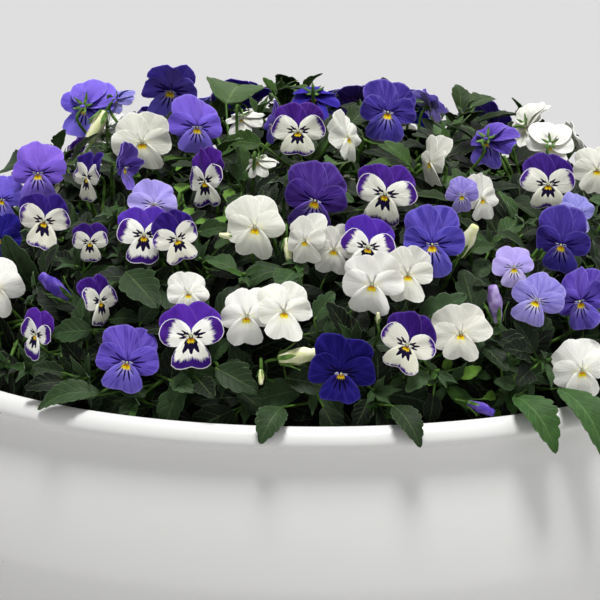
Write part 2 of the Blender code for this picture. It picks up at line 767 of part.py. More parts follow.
def tube_mesh(path, radius, end_radius=None):
    """A three-sided tube along a path, from a curve with filled caps."""
    corners = bpy.data.curves.new("section", "CURVE")
    corners.dimensions = "2D"
    line = corners.splines.new("POLY")
    line.points.add(2)
    for k, corner in enumerate(line.points):
        corner.co = (math.cos(2.0944 * k), math.sin(2.0944 * k), 0, 1)
    line.use_cyclic_u = True
    section = new_object("section", corners, bpy.context.scene.collection)
    curve = bpy.data.curves.new("tube", "CURVE")
    curve.dimensions = "3D"
    curve.bevel_mode = "OBJECT"
    curve.bevel_object = section
    curve.use_fill_caps = True
    spline = curve.splines.new("POLY")
    spline.points.add(len(path) - 1)
    for k, place in enumerate(path):
        share = k / (len(path) - 1)
        spline.points[k].co = (*place, 1)
        spline.points[k].radius = radius + ((end_radius or radius) - radius) * share
    tube = new_object("tube", curve, bpy.context.scene.collection)
    bpy.context.view_layer.update()
    mesh = bpy.data.meshes.new_from_object(tube.evaluated_get(bpy.context.evaluated_depsgraph_get()))
    for used in (tube, section):
        bpy.data.objects.remove(used)
    bm = bmesh.new()
    bm.from_mesh(mesh)
    bpy.data.meshes.remove(mesh)
    bmesh.ops.remove_doubles(bm, verts=bm.verts, dist=0.00002)
    return mesh_from(bm, "tube")


def fused(name, meshes, collection, colour):
    """One body from a stem and all that grows from it."""
    body = new_object(name, meshes[0], collection, colour)
    growth = bpy.data.collections.new("growth")
    bpy.context.scene.collection.children.link(growth)
    for mesh in meshes[1:]:
        new_object("grown", mesh, growth)
    join = body.modifiers.new("grown together", "BOOLEAN")
    join.operation = "UNION"
    join.operand_type = "COLLECTION"
    join.collection = growth
    join.solver = "MANIFOLD"
    bpy.context.view_layer.update()
    mesh = bpy.data.meshes.new_from_object(body.evaluated_get(bpy.context.evaluated_depsgraph_get()))
    body.modifiers.clear()
    old = body.data
    body.data = mesh
    bpy.data.meshes.remove(old)
    for used in list(growth.objects):
        bpy.data.objects.remove(used)
    bpy.data.collections.remove(growth)
    mesh.materials.clear()
    mesh.materials.append(material(colour))
    return body


def planter_profile():
    """The planter's outline at +X: down its outside from the lip, across the foot and up inside."""
    top, roll = RIM_HEIGHT, LIP_ROLL
    outside = [
        (RIM_RADIUS, top),
        (RIM_RADIUS + 0.80 * roll, top - 0.78 * roll),
        (RIM_RADIUS + 0.50 * roll, top - 1.35 * roll),
        (RIM_RADIUS + 0.42 * roll, top - 2.85 * roll),
        (RIM_RADIUS + 0.63 * roll, top - 3.83 * roll),
        (BELLY_RADIUS - 0.0064, top - 6.1 * roll),
        (BELLY_RADIUS, BELLY_HEIGHT),
    ]
    for turn in (28, 52, 74):
        share = math.radians(turn)
        outside.append((
            FOOT_RADIUS + (BELLY_RADIUS - FOOT_RADIUS) * math.cos(share),
            BELLY_HEIGHT * (1 - math.sin(share)),
        ))
    outside.append((FOOT_RADIUS, 0.0))
    inside = [
        (FOOT_RADIUS - 0.006, FLOOR_THICKNESS),
        (BELLY_RADIUS - 0.040, BELLY_HEIGHT * 0.40),
        (BELLY_RADIUS - WALL, BELLY_HEIGHT),
        (RIM_RADIUS, top - 4.0 * roll),
        (RIM_RADIUS - 0.004, top - 2.2 * roll),
        (RIM_RADIUS - 0.004, top - 0.5 * roll),
    ]
    return outside, inside


def turned_solid(name, profile, collection, colour):
    """A solid turned about Z from a profile whose two ends are on the axis."""
    mesh = bpy.data.meshes.new(name)
    mesh.from_pydata([(x, 0, z) for x, z in profile], [(k, k + 1) for k in range(len(profile) - 1)], [])
    made = new_object(name, mesh, collection, colour)
    turn = made.modifiers.new("turned", "SCREW")
    turn.angle = 2 * math.pi
    turn.steps = turn.render_steps = SEGMENTS
    turn.use_merge_vertices = True
    turn.merge_threshold = 0.00005
    return made


def planter(collection):
    outside, inside = planter_profile()
    profile = outside + [(0.0, 0.0)]
    start = [(0.0, FLOOR_THICKNESS)] + inside
    made = turned_solid("planter", start + profile, collection, "planter")
    made.data.shade_smooth()
    made.data.set_sharp_from_angle(angle=math.radians(40))
    return made


def inner_radius(height):
    """The radius inside the planter's wall at a height."""
    _, inside = planter_profile()
    for (r0, z0), (r1, z1) in zip(inside, inside[1:]):
        if z0 <= height <= z1:
            return r0 + (r1 - r0) * (height - z0) / (z1 - z0)
    return inside[-1][0]


def compost(collection, shoots, cutters):
    """The compost that fills the planter, with a plain hole for each stem."""
    surface = RIM_HEIGHT - COMPOST_DROP
    _, inside = planter_profile()
    wall = [(r - WALL_GAP, z) for r, z in inside if FLOOR_THICKNESS < z < surface]
    wall = [(inside[0][0] - WALL_GAP, FLOOR_THICKNESS + SEAT_GAP)] + wall
    wall.append((inner_radius(surface) - WALL_GAP, surface))
    profile = [(0.0, surface)] + wall[::-1] + [(0.0, FLOOR_THICKNESS + SEAT_GAP)]
    made = turned_solid("compost", profile, collection, "compost")
    corner = 2 * (STEM_RADIUS + HOLE_CLEARANCE)
    for shoot in shoots:
        base = shoot["stem"][1]
        bm = bmesh.new()
        bmesh.ops.create_cone(bm, cap_ends=True, segments=3, radius1=corner, radius2=corner,
                              depth=2 * HOLE_DEPTH)
        bmesh.ops.translate(bm, verts=bm.verts, vec=(base.x, base.y, surface))
        cutter = new_object("hole", mesh_from(bm, "hole"), cutters)
        cutter.hide_render = True
        cutter.display_type = "WIRE"
    cut = made.modifiers.new("holes", "BOOLEAN")
    cut.operation = "DIFFERENCE"
    cut.operand_type = "COLLECTION"
    cut.collection = cutters
    return made


def main():
    for old in list(bpy.data.objects):
        bpy.data.objects.remove(old)
    parts = bpy.data.collections.new("potted viola")
    cutters = bpy.data.collections.new("cutters")
    for collection in (parts, cutters):
        bpy.context.scene.collection.children.link(collection)
    shoots = layout()
    counts = {}
    for shoot in shoots:
        kind = shoot["kind"]
        counts[kind] = counts.get(kind, 0) + 1
        meshes = [tube_mesh(shoot["stem"], STEM_RADIUS, STEM_RADIUS * 0.8)]
        for path, bloom in shoot["stalks"]:
            meshes.append((bud_mesh if "closed" in bloom else bloom_mesh)(bloom, path))
        meshes += [leaf_mesh(leaf) for leaf in shoot["leaves"]]
        fused(f"{kind}_viola_{counts[kind]:02d}", meshes, parts, kind)
    planter(parts)
    compost(parts, shoots, cutters)


main()
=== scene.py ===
"""The looks of a potted viola: a white glazed planter of violas in five colours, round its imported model.

Metres, +Z up. The planter stands on z = 0 with its axis on Z, and the view looks along +Y. The planting is
laid out here by the same rule and the same draws as the solids, so that each bloom, bud, leaf and stem is
where its solid is.
"""

import contextlib
import math
import random

import bmesh
import bpy
import numpy as np
from mathutils import Matrix, Vector, noise


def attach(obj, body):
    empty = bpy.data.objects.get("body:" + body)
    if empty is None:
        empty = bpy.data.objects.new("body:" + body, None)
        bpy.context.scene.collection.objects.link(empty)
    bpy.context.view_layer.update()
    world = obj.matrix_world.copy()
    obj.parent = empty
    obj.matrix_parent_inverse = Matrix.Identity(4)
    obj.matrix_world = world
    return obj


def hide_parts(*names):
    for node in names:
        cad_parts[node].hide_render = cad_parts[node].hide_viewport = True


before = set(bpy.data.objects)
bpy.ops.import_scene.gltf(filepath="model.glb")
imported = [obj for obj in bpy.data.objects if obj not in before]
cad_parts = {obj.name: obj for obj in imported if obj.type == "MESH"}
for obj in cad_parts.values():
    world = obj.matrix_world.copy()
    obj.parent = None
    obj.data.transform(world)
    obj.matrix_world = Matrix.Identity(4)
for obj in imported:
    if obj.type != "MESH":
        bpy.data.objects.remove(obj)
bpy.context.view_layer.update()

# Planter
RIM_HEIGHT = 0.300
RIM_RADIUS = 0.262
BELLY_RADIUS = 0.280
BELLY_HEIGHT = 0.200
FOOT_RADIUS = 0.190
FLOOR_THICKNESS = 0.014

# Compost
COMPOST_DROP = 0.026
SEAT_GAP = 0.0003
HOLE_DEPTH = 0.016
COMPOST_RADIUS = 0.2585
COMPOST_RING = 0.0112
COMPOST_RINGS = 22

# The planter's profile above its belly and down its inside, as radii and heights
SHOULDER = ((0.2794, 0.2090), (0.2768, 0.2265), (0.2735, 0.2425), (0.2702, 0.2550), (0.2680, 0.2636))
NECK = ((0.2671, 0.2670), (0.2664, 0.2700), (0.2660, 0.2735), (0.2659, 0.2800), (0.2663, 0.2862))
LIP = ((0.2674, 0.2878), (0.2694, 0.2884), (0.2705, 0.2902), (0.2702, 0.2932), (0.2684, 0.2966),
       (0.2655, 0.2993), (0.2620, RIM_HEIGHT + 0.0006), (0.2586, 0.2990), (0.2578, 0.2940))
POT_INSIDE = ((0.2580, 0.2790), (0.2620, 0.2620), (0.2700, 0.2000), (0.2400, 0.0800),
              (0.1840, FLOOR_THICKNESS))

# The mound that the blooms lie on, centred on the middle of the rim
MOUND_RADIUS = 0.256
MOUND_HEIGHT = 0.149

# The view that the pixel places below are given in: 600 pixels square, looking along +Y and down. The
# margin is how many pixels past its edge still count. The last four are its ways ahead and up, its eye
# and the true upright.
VIEW_DISTANCE = 2.6
VIEW_PITCH = math.radians(13.44)
VIEW_AIM = Vector((-0.0103, 0.0, 0.3130))
PIXELS_PER_SLOPE = 4062.0
FRAME = 600
MARGIN = 6
AHEAD = Vector((0.0, math.cos(VIEW_PITCH), -math.sin(VIEW_PITCH)))
ABOVE = Vector((0.0, math.sin(VIEW_PITCH), math.cos(VIEW_PITCH)))
EYE = VIEW_AIM - AHEAD * VIEW_DISTANCE
UPRIGHT = Vector((0, 0, 1))

# Blooms, leaves and stems. A leaf's breadth is a share of its length.
BLOOM_WIDTH = 0.035
LEAF_LENGTH = 0.036
LEAF_BREADTH = 0.56
STEM_RADIUS = 0.0021
STALK_RADIUS = 0.0011
PETIOLE_RADIUS = 0.0010
MORE_BLOOMS = 43
LEAVES_PER_SHOOT = 1
MOST_BLOOMS_PER_SHOOT = 5
SHOOT_REACH = 0.110
SPACING = 0.039
SEED = 11

# The numbers that stems, stalks and leaves start from as owners of space
STEM_OWNERS = 1000
STALK_OWNERS = 2000
LEAF_OWNERS = 5000

# The petals of a solid bloom, clockwise from the top: the angle of the axis in degrees, then the reach,
# breadth and layer in bloom widths
PETALS = (
    (24, 0.68, 0.54, -0.045),
    (82, 0.50, 0.44, 0.000),
    (180, 0.48, 0.62, 0.055),
    (278, 0.50, 0.44, 0.012),
    (336, 0.68, 0.54, -0.090),
)

# Blooms: colour, the pixel of the eye, the width in pixels, then the turn to the right, the tilt up
# and the roll anticlockwise from facing the view, in degrees. Each gives way to those before it.
BLOOMS = (
    ("bicolour", 191, 337, 69, -4, 4, 5),
    ("white", 247, 317, 55, -8, 2, 0),
    ("white", 284, 312, 56, 8, 4, 3),
    ("violet", 127, 363, 65, -5, 0, -9),
    ("dark", 341, 373, 66, 4, -30, -4),
    ("bicolour", 407, 346, 60, 0, 4, -20),
    ("white", 461, 334, 58, -10, 6, 8),
    ("white", 582, 371, 58, 12, -4, 10),
    ("lavender", 537, 301, 54, 0, 2, -25),
    ("violet", 581, 302, 62, -34, 0, 14),
    ("lavender", 514, 268, 43, 5, 4, 4),
    ("violet", 561, 245, 58, -4, -12, -6),
    ("bicolour", 548, 185, 57, 4, 4, 0),
    ("bicolour", 368, 248, 58, 4, 6, -8),
    ("violet", 432, 245, 66, 4, 2, 2),
    ("white", 372, 285, 60, 2, -6, 0),
    ("white", 408, 275, 52, 10, 0, 0),
    ("white", 334, 250, 48, -6, 0, 0),
    ("white", 305, 241, 46, -32, 0, 0),
    ("bicolour", 385, 195, 64, -8, 6, -6),
    ("violet", 315, 201, 67, 0, -8, -8),
    ("white", 255, 228, 60, 0, 4, 2),
    ("bicolour", 144, 236, 60, -2, 4, 0),
    ("bicolour", 177, 240, 52, 16, 4, 16),
    ("lavender", 154, 205, 50, 6, 8, 0),
    ("bicolour", 44, 222, 56, -6, 4, -4),
    ("bicolour", 90, 243, 40, -18, 0, 4),
    ("bicolour", 100, 302, 52, 48, -6, 8),
    ("white", 188, 294, 42, 4, 12, 0),
    ("bicolour", 36, 335, 48, -52, -10, -14),
    ("white", -4, 288, 58, 8, 0, 0),
    ("violet", 38, 174, 56, -4, 8, 0),
    ("violet", 2, 200, 44, -20, 8, 0),
    ("dark", 0, 240, 42, -14, 0, 0),
    ("white", 142, 143, 58, 0, 6, 0),
    ("violet", 197, 128, 56, 10, 8, -4),
    ("violet", 171, 91, 65, -14, -30, -12),
    ("violet", 86, 108, 58, 158, 4, 20),
    ("lavender", 118, 99, 36, 112, 0, 0),
    ("bicolour", 87, 178, 50, -62, -4, 0),
    ("violet", 124, 168, 48, 62, -8, 0),
    ("bicolour", 205, 182, 56, -46, -12, 8),
    ("white", 243, 118, 42, 156, -48, 0),
    ("white", 259, 161, 40, 150, -50, 0),
    ("bicolour", 298, 132, 56, -4, 6, 0),
    ("dark", 314, 96, 58, 172, -48, 0),
    ("violet", 272, 125, 38, -76, 0, 0),
    ("white", 348, 138, 50, 58, 0, 0),
    ("violet", 388, 113, 60, 0, 8, -4),
    ("white", 430, 163, 50, -58, 0, 0),
    ("lavender", 462, 196, 35, 0, 4, 0),
    ("white", 482, 199, 44, 48, 0, 0),
    ("violet", 489, 141, 58, 156, 0, 12),
    ("lavender", 578, 214, 42, 34, 4, 0),
    ("white", 528, 126, 50, 118, 0, 0),
    ("white", 551, 145, 48, 168, 6, 0),
    ("white", 579, 148, 48, 96, 6, 0),
    ("white", 597, 170, 48, 14, 10, 0),
)

# Buds: colour, the pixel of the middle, the length in pixels and the way its tip points in the view,
# in degrees anticlockwise from upright
BUDS = (
    ("white", 227, 236, 17, 80),
    ("white", 288, 249, 24, 185),
    ("white", 299, 356, 44, -82),
    ("white", 261, 377, 16, 180),
    ("white", 378, 318, 12, 0),
    ("lavender", 495, 304, 40, 8),
    ("white", 467, 241, 38, -28),
    ("violet", 55, 287, 40, 50),
    ("white", 97, 127, 38, 150),
    ("violet", 481, 408, 30, -112),
)

# Leaves that show: the pixels of the blade's base and tip, and how far behind the mound they lie
LEAVES = (
    (126, 272, 158, 308, 0.010),
    (92, 330, 52, 334, 0.010),
    (140, 324, 160, 300, 0.012),
    (216, 368, 258, 392, 0.004),
    (222, 372, 250, 366, 0.010),
    (286, 378, 330, 388, 0.006),
    (314, 320, 334, 292, 0.014),
    (376, 326, 374, 350, 0.010),
    (468, 250, 494, 246, 0.016),
    (198, 232, 228, 226, 0.016),
    (262, 144, 226, 140, 0.014),
    (226, 104, 240, 86, 0.006),
    (334, 104, 344, 70, 0.006),
    (350, 124, 366, 110, 0.010),
    (428, 372, 406, 392, 0.006),
    (444, 372, 420, 384, 0.008),
    (514, 386, 494, 382, 0.006),
    (512, 394, 534, 386, 0.006),
    (98, 396, 66, 386, 0.004),
    (120, 384, 146, 396, 0.004),
    (20, 164, 4, 170, 0.012),
    (60, 376, 34, 372, 0.006),
    (558, 222, 596, 236, 0.018),
    (170, 380, 196, 392, 0.008),
)

# Leaves over the lip: the pixel column, the length and breadth in metres, and the lean in degrees
RIM_LEAVES = (
    (86, 0.040, 0.016, 62),
    (280, 0.029, 0.017, 22),
    (398, 0.033, 0.016, -20),
    (528, 0.046, 0.023, -11),
    (577, 0.056, 0.024, -3),
)

# The finer shapes: in bloom widths for petals, in leaf lengths for leaves
PETAL_ROWS = 6
PETAL_COLUMNS = 18
PETAL_FAN = math.radians(80)
PETAL_SHEET = 0.012
LEAF_SHEET = 0.014
TUFT_HAIRS = 5
COMPOST_CRUMBS = 60
CREASE = math.radians(50)
SEPAL_ANGLES = (10, 80, 142, 218, 285)
SPUR_STEPS = ((-0.006, -0.05, 0.9), (-0.014, -0.05, 0.85), (-0.022, -0.04, 0.8), (-0.012, -0.015, 0.5))
LOOKS_SEED = 3

# Each colour's petals, clockwise from the top: the angle of the axis, reach, breadth, layer, notch and
# cup in bloom widths
BROAD_PETALS = (
    (26, 0.62, 0.60, -0.092, 0.03, 0.02),
    (80, 0.51, 0.46, -0.012, 0.02, 0.05),
    (180, 0.49, 0.58, 0.045, 0.06, -0.02),
    (280, 0.51, 0.46, 0.000, 0.02, 0.05),
    (334, 0.63, 0.60, -0.050, 0.03, 0.02),
)
BLOOM_FORMS = {
    "violet": BROAD_PETALS,
    "dark": BROAD_PETALS,
    "lavender": (
        (25, 0.60, 0.55, -0.092, 0.03, 0.02),
        (78, 0.50, 0.44, -0.012, 0.02, 0.05),
        (180, 0.50, 0.56, 0.045, 0.07, -0.02),
        (282, 0.50, 0.44, 0.000, 0.02, 0.05),
        (335, 0.60, 0.55, -0.050, 0.03, 0.02),
    ),
    "white": (
        (29, 0.60, 0.60, -0.094, 0.02, 0.02),
        (83, 0.52, 0.46, -0.020, 0.02, 0.03),
        (180, 0.51, 0.60, 0.040, 0.15, -0.02),
        (277, 0.52, 0.46, -0.010, 0.02, 0.03),
        (331, 0.60, 0.60, -0.046, 0.02, 0.02),
    ),
    "bicolour": (
        (29, 0.58, 0.58, -0.092, 0.04, 0.02),
        (75, 0.50, 0.43, -0.012, 0.02, 0.04),
        (180, 0.47, 0.57, 0.045, 0.09, -0.02),
        (285, 0.50, 0.43, 0.000, 0.02, 0.04),
        (331, 0.58, 0.58, -0.050, 0.04, 0.02),
    ),
}

# The outlines of the upper, side and lower petals: how squared the oval is and how much it widens outwards
PETAL_OUTLINES = ((2.15, 0.10), (2.2, 0.20), (2.4, 0.42))

# How far the claw's colour goes in each kind of petal (where it is darker than the body it is partly painted
# shade at the throat), how many whiskers it has and where they start, and where its stained patch starts and
# half how wide that is
PETAL_PARTS = {
    "upper": (0.25, 0, 0, 0, 0),
    "side": (0.35, 4, 0.07, 0.72, 0.38),
    "lower": (0.50, 5, 0.08, 0.75, 0.58),
}

# Settings that many shader nodes share
EASED = {"interpolation_type": "SMOOTHSTEP"}
COLOURED = {"data_type": "RGBA"}

# Leafy side branches in layers: how high they end on the mound as shares of its height, how far under
# its surface, how far apart, and whether their leaves are seen from near by
LEAF_LAYERS = (
    (0.04, 1.00, 0.007, 0.020, 0.029, True),
    (0.02, 0.22, 0.014, 0.048, 0.025, True),
    (0.04, 1.00, 0.034, 0.050, 0.033, False),
    (0.04, 1.00, 0.066, 0.090, 0.040, False),
    (0.35, 1.00, 0.104, 0.122, 0.045, False),
)

# How the branches are drawn: the seed, the tries for places in a layer, the leaves on each branch and the
# tries for each leaf. Stipules stand round its end, and their breadth is a share of their length.
FILL_SEED = 5
FILL_DRAWS = 4000
FILL_LEAVES = 4
FILL_TRIES = 14
STIPULES = 6
STIPULE_LENGTHS = (0.010, 0.022)
STIPULE_BREADTH = 0.26

# Blooms that face away from the front hang their heads and arch their upper petals
AWAY_HANG = math.radians(32)
AWAY_ARCH = 0.9

# Studio: the strength of the light all round and at the horizon, and how much it grows to the right. Then
# the strength, spread, height and side of the large soft light overhead, in degrees, and the light from
# behind with the way to it. The sensor is in millimetres.
WORLD_LIGHT = 0.44
HORIZON_LIGHT = 0.82
SIDE_GAIN = 1.00
OVERHEAD_LIGHT = 3.55
OVERHEAD_SPREAD = 19
OVERHEAD_HEIGHT = 85.2
OVERHEAD_SIDE = 5
BEHIND_LIGHT = 0.80
BEHIND_SPREAD = 50
BEHIND_WAY = Vector((0.2, 0.8, 0.9))
SENSOR = 36


def linear(hex_colour):
    """A linear RGBA colour from sRGB hex."""
    parts = [int(hex_colour[k : k + 2], 16) / 255 for k in (1, 3, 5)]
    return [p / 12.92 if p <= 0.04045 else ((p + 0.055) / 1.055) ** 2.4 for p in parts] + [1.0]


def live(sockets):
    """The sockets that a node has with its settings."""
    return [socket for socket in sockets if socket.enabled]


def add(tree, kind, *values, **named):
    """Adds a shader node. The values go to its live inputs in order. A name with a capital is an input, and
    the others are settings. A value is a constant, an output, or a node, whose first live output is used."""
    made = tree.nodes.new("ShaderNode" + kind)
    for name, value in named.items():
        if name.islower():
            setattr(made, name, value)
    inputs = list(zip(live(made.inputs), values))
    inputs += [(made.inputs[name], value) for name, value in named.items() if not name.islower()]
    for socket, value in inputs:
        if isinstance(value, bpy.types.Node):
            value = live(value.outputs)[0]
        if isinstance(value, bpy.types.NodeSocket):
            tree.links.new(value, socket)
        else:
            socket.default_value = value
    return made


def new_finish(name, **shader_inputs):
    """A material with its shader, whose constant inputs are set on the shader itself."""
    made = bpy.data.materials.new(name)
    made.use_nodes = True
    shader = made.node_tree.nodes["Principled BSDF"]
    for key, value in shader_inputs.items():
        shader.inputs[key.replace("_", " ")].default_value = value
    return made, made.node_tree, shader


def give(tree, shader, **looks):
    """Links each look to the shader's input of that name."""
    for name, node in looks.items():
        tree.links.new(live(node.outputs)[0], shader.inputs[name.replace("_", " ")])


def sheet_places(tree):
    """Places on a petal or a blade: across it from -1 to 1, along it and out from its midline from 0 to 1.
    With them comes the tone of its bloom or leaf."""
    place = add(tree, "SeparateXYZ", add(tree, "UVMap", uv_map="UVMap"))
    across = add(tree, "Math", place.outputs["X"], 2.0, -1.0, operation="MULTIPLY_ADD")
    side = add(tree, "Math", across, operation="ABSOLUTE")
    tone = add(tree, "Attribute", attribute_name="tone").outputs["Fac"]
    return across, place.outputs["Y"], side, tone


def petal_ground(name, colours, depth, vary):
    """A petal's tissue: its colour runs from the claw out, is streaked along the veins, differs from bloom to
    bloom and pales at the margin. A claw darker than the body is partly painted shade at the throat and under
    the overlapping petals, and the grey streaks of white petals are partly painted shade along their creases.
    It is matte, and thin enough that light comes through."""
    made, tree, shader = new_finish(
        name, Roughness=0.65, IOR=1.4, Specular_IOR_Level=0.10, Sheen_Weight=0.02, Sheen_Roughness=0.4,
        Subsurface_Weight=0.85, Subsurface_Scale=0.0010, Subsurface_Radius=(1.0, 1.0, 1.0),
    )
    body, deep, claw, margin = (linear(colour) for colour in colours.split())
    across, along, side, tone = sheet_places(tree)
    grain = add(tree, "CombineXYZ", *(
        add(tree, "Math", way, stretch, operation="MULTIPLY")
        for way, stretch in ((across, 16.0), (along, 1.8), (tone, 40.0))
    ))
    streak = add(tree, "TexNoise", Vector=grain, Scale=1.0, Detail=3.0)
    # The streaks are veins; on white petals their grey is partly painted shade along the creases.
    veins_and_crease_shade = add(tree, "Math", tone, 0.5, streak, operation="MULTIPLY_ADD")
    veins_and_crease_shade = add(tree, "MapRange", veins_and_crease_shade, 0.45, 0.95, **EASED)
    colour = add(tree, "Mix", veins_and_crease_shade, deep, body, **COLOURED)
    # The claw's colour reaches out from the throat. Where it is darker than the body, it is partly painted
    # shade at the throat and under the overlapping petals.
    claw_tint_and_throat_shade = add(tree, "Math", streak, 0.2, along, operation="MULTIPLY_ADD")
    claw_tint_and_throat_shade = add(tree, "MapRange", claw_tint_and_throat_shade, 0.14, 0.14 + depth, **EASED)
    colour = add(tree, "Mix", claw_tint_and_throat_shade, claw, colour, **COLOURED)
    edge = add(tree, "Math", add(tree, "MapRange", side, 0.92, 1.0, **EASED),
               add(tree, "MapRange", along, 0.93, 1.0, **EASED), operation="MAXIMUM")
    edge = add(tree, "Math", edge, 0.55, operation="MULTIPLY")
    colour = add(tree, "Mix", edge, colour, margin, **COLOURED)
    own = add(tree, "Math", tone, 7.3, operation="MULTIPLY")
    own = add(tree, "Math", own, operation="FRACT")
    colour = add(tree, "HueSaturation", Color=colour,
                 Hue=add(tree, "Math", own, 0.024, 0.488, operation="MULTIPLY_ADD"),
                 Value=add(tree, "Math", tone, vary, 0.95 - 0.5 * vary, operation="MULTIPLY_ADD"))
    give(tree, shader, Normal=add(tree, "Bump", Strength=0.45, Distance=0.0007, Height=streak))
    return made, tree, shader, dict(across=across, along=along, side=side, streak=streak, tone=tone), colour


def whiskers(tree, at, count, first, solid, reach, spread):
    """Dark lines that fan out from the claw and taper to a point. They are wide enough to run together as
    far as solid goes."""
    turn = add(tree, "Math", at["across"], math.pi * count / spread, -0.5, operation="MULTIPLY_ADD")
    turn = add(tree, "Math", at["streak"], 1.0, turn, operation="MULTIPLY_ADD")
    wave = add(tree, "Math", turn, operation="COSINE")
    share = add(tree, "Math", at["along"], first, operation="SUBTRACT")
    share = add(tree, "Math", share, reach, operation="DIVIDE")
    outer = add(tree, "Math", at["side"], spread, operation="DIVIDE")
    outer = add(tree, "Math", outer, 2.0, operation="POWER")
    outer = add(tree, "Math", outer, 0.9, 1.0, operation="MULTIPLY_ADD")
    share = add(tree, "Math", share, outer, operation="MULTIPLY")
    narrow = add(tree, "Math", share, 1.0 - solid, solid, operation="MULTIPLY_ADD")
    line = add(tree, "Math", wave, narrow, operation="SUBTRACT")
    line = add(tree, "MapRange", line, 0.0, 0.3, **EASED)
    for way, start, end in (("side", spread, 0.85 * spread), ("along", first - 0.04, first)):
        inside = add(tree, "MapRange", at[way], start, end, **EASED)
        line = add(tree, "Math", line, inside, operation="MULTIPLY")
    return line


def stained(tree, at, colour, stain, from_share, half_width):
    """A streaky patch at the petal's outer end, inside its pale margin, that narrows to the sides. It
    differs in size from bloom to bloom."""
    ragged = add(tree, "Math", at["streak"], 0.4, at["along"], operation="MULTIPLY_ADD")
    sides = add(tree, "Math", at["side"], half_width, operation="DIVIDE")
    sides = add(tree, "Math", sides, 2.0, operation="POWER")
    ragged = add(tree, "Math", sides, -0.22, ragged, operation="MULTIPLY_ADD")
    ragged = add(tree, "Math", at["tone"], 0.24, ragged, operation="MULTIPLY_ADD")
    patch = add(tree, "MapRange", ragged, from_share + 0.25, from_share + 0.4, **EASED)
    inside = add(tree, "MapRange", at["along"], 0.99, 0.96, **EASED)
    patch = add(tree, "Math", patch, inside, operation="MULTIPLY")
    return add(tree, "Mix", patch, colour, linear(stain), **COLOURED)


def yellow_eye(tree, at, colour, glow):
    """The lip's ragged yellow eye, orange at the claw."""
    ray = add(tree, "Math", at["across"], 26.0, operation="MULTIPLY")
    ray = add(tree, "Math", ray, operation="COSINE")
    ragged = add(tree, "Math", ray, -0.025, at["along"], operation="MULTIPLY_ADD")
    eye = add(tree, "Math", add(tree, "MapRange", ragged, glow + 0.07, glow + 0.01, **EASED),
              add(tree, "MapRange", at["side"], 1.0, 0.8, **EASED), operation="MULTIPLY")
    colour = add(tree, "Mix", eye, colour, linear("#FBD81A"), **COLOURED)
    heart = add(tree, "MapRange", at["along"], 0.095, 0.04, **EASED)
    heart = add(tree, "Math", eye, heart, operation="MULTIPLY")
    return add(tree, "Mix", heart, colour, linear("#D98A08"), **COLOURED)


def petal_finish(kind, part, colours, ink=None, lines=(), stain=None, glow=None, vary=0.40):
    """A petal's finish, with whiskers or a blotch of ink, a stained outer end and, on the lip, a yellow eye.
    The colours are its body, its streaks, its claw and its margin. A claw darker than the body, and the grey
    streaks of white petals, are partly painted shade."""
    depth, count, first, from_share, half_width = PETAL_PARTS[part]
    made, tree, shader, at, colour = petal_ground(f"{kind}_{part}_petal", colours, depth, vary)
    if stain:
        colour = stained(tree, at, colour, stain, from_share, half_width)
    if ink:
        drawn = whiskers(tree, at, count, first, *lines)
        colour = add(tree, "Mix", drawn, colour, linear(ink), **COLOURED)
    if glow:
        colour = yellow_eye(tree, at, colour, glow)
    give(tree, shader, Base_Color=colour)
    return made


def petal_finishes():
    """The upper, side and lower petals of each colour."""
    ink, blackish, black = "#16084A", "#10042E", "#0A0226"
    # The white petals' grey streak colour is partly painted shade along their creases.
    white = "#F3F2E7 #DEDED0 #EEECCA #FAF9F0"
    return {
        "violet": (
            # The darker claw colours of the violet, purple and dark petals and the lavender upper petals are
            # partly painted shade at the throat.
            petal_finish("violet", "upper", "#7059BE #472F92 #371F80 #8878CE"),
            petal_finish("violet", "side", "#6C57BE #432D92 #331E7E #8272CC", ink, (-0.7, 0.55, 0.55)),
            petal_finish("violet", "lower", "#7E6ED0 #5542AA #B0A6E6 #998DDC", ink, (-0.5, 0.62, 0.68),
                         glow=0.13),
        ),
        "lavender": (
            petal_finish("lavender", "upper", "#9B94DC #7870C4 #857CCE #B0AAE6"),
            petal_finish("lavender", "side", "#A29BDF #7E76C8 #C6C1EE #B8B2EA", ink, (-0.35, 0.45, 0.55)),
            petal_finish("lavender", "lower", "#B2ABE8 #8F87D6 #ECEAF6 #C2BCEE", ink, (-0.3, 0.58, 0.68),
                         glow=0.15),
        ),
        "white": (
            petal_finish("white", "upper", white, vary=0.14),
            petal_finish("white", "side", white, vary=0.14),
            petal_finish("white", "lower", white, glow=0.135, vary=0.14),
        ),
        "bicolour": (
            petal_finish("purple", "upper", "#4C2496 #2E0F6C #270B5C #6A48AE"),
            petal_finish("stained", "side", "#F6F5E8 #E2E1D2 #F2F0D6 #DCD0EA", blackish, (-2.5, 0.36, 0.55),
                         "#451C80", vary=0.14),
            petal_finish("stained", "lower", "#F6F5E6 #E6E5D0 #F4F2D2 #DCD0EA", blackish, (-3.8, 0.48, 0.85),
                         "#3C1878", glow=0.09, vary=0.14),
        ),
        "dark": (
            petal_finish("dark", "upper", "#35208A #1F0D66 #190852 #46309C"),
            petal_finish("dark", "side", "#35218A #1F0E66 #180752 #46309C", black, (-0.7, 0.5, 0.55)),
            petal_finish("dark", "lower", "#4834A4 #2C1A82 #241068 #5A48B4", black, (-0.9, 0.55, 0.68),
                         glow=0.09),
        ),
    }


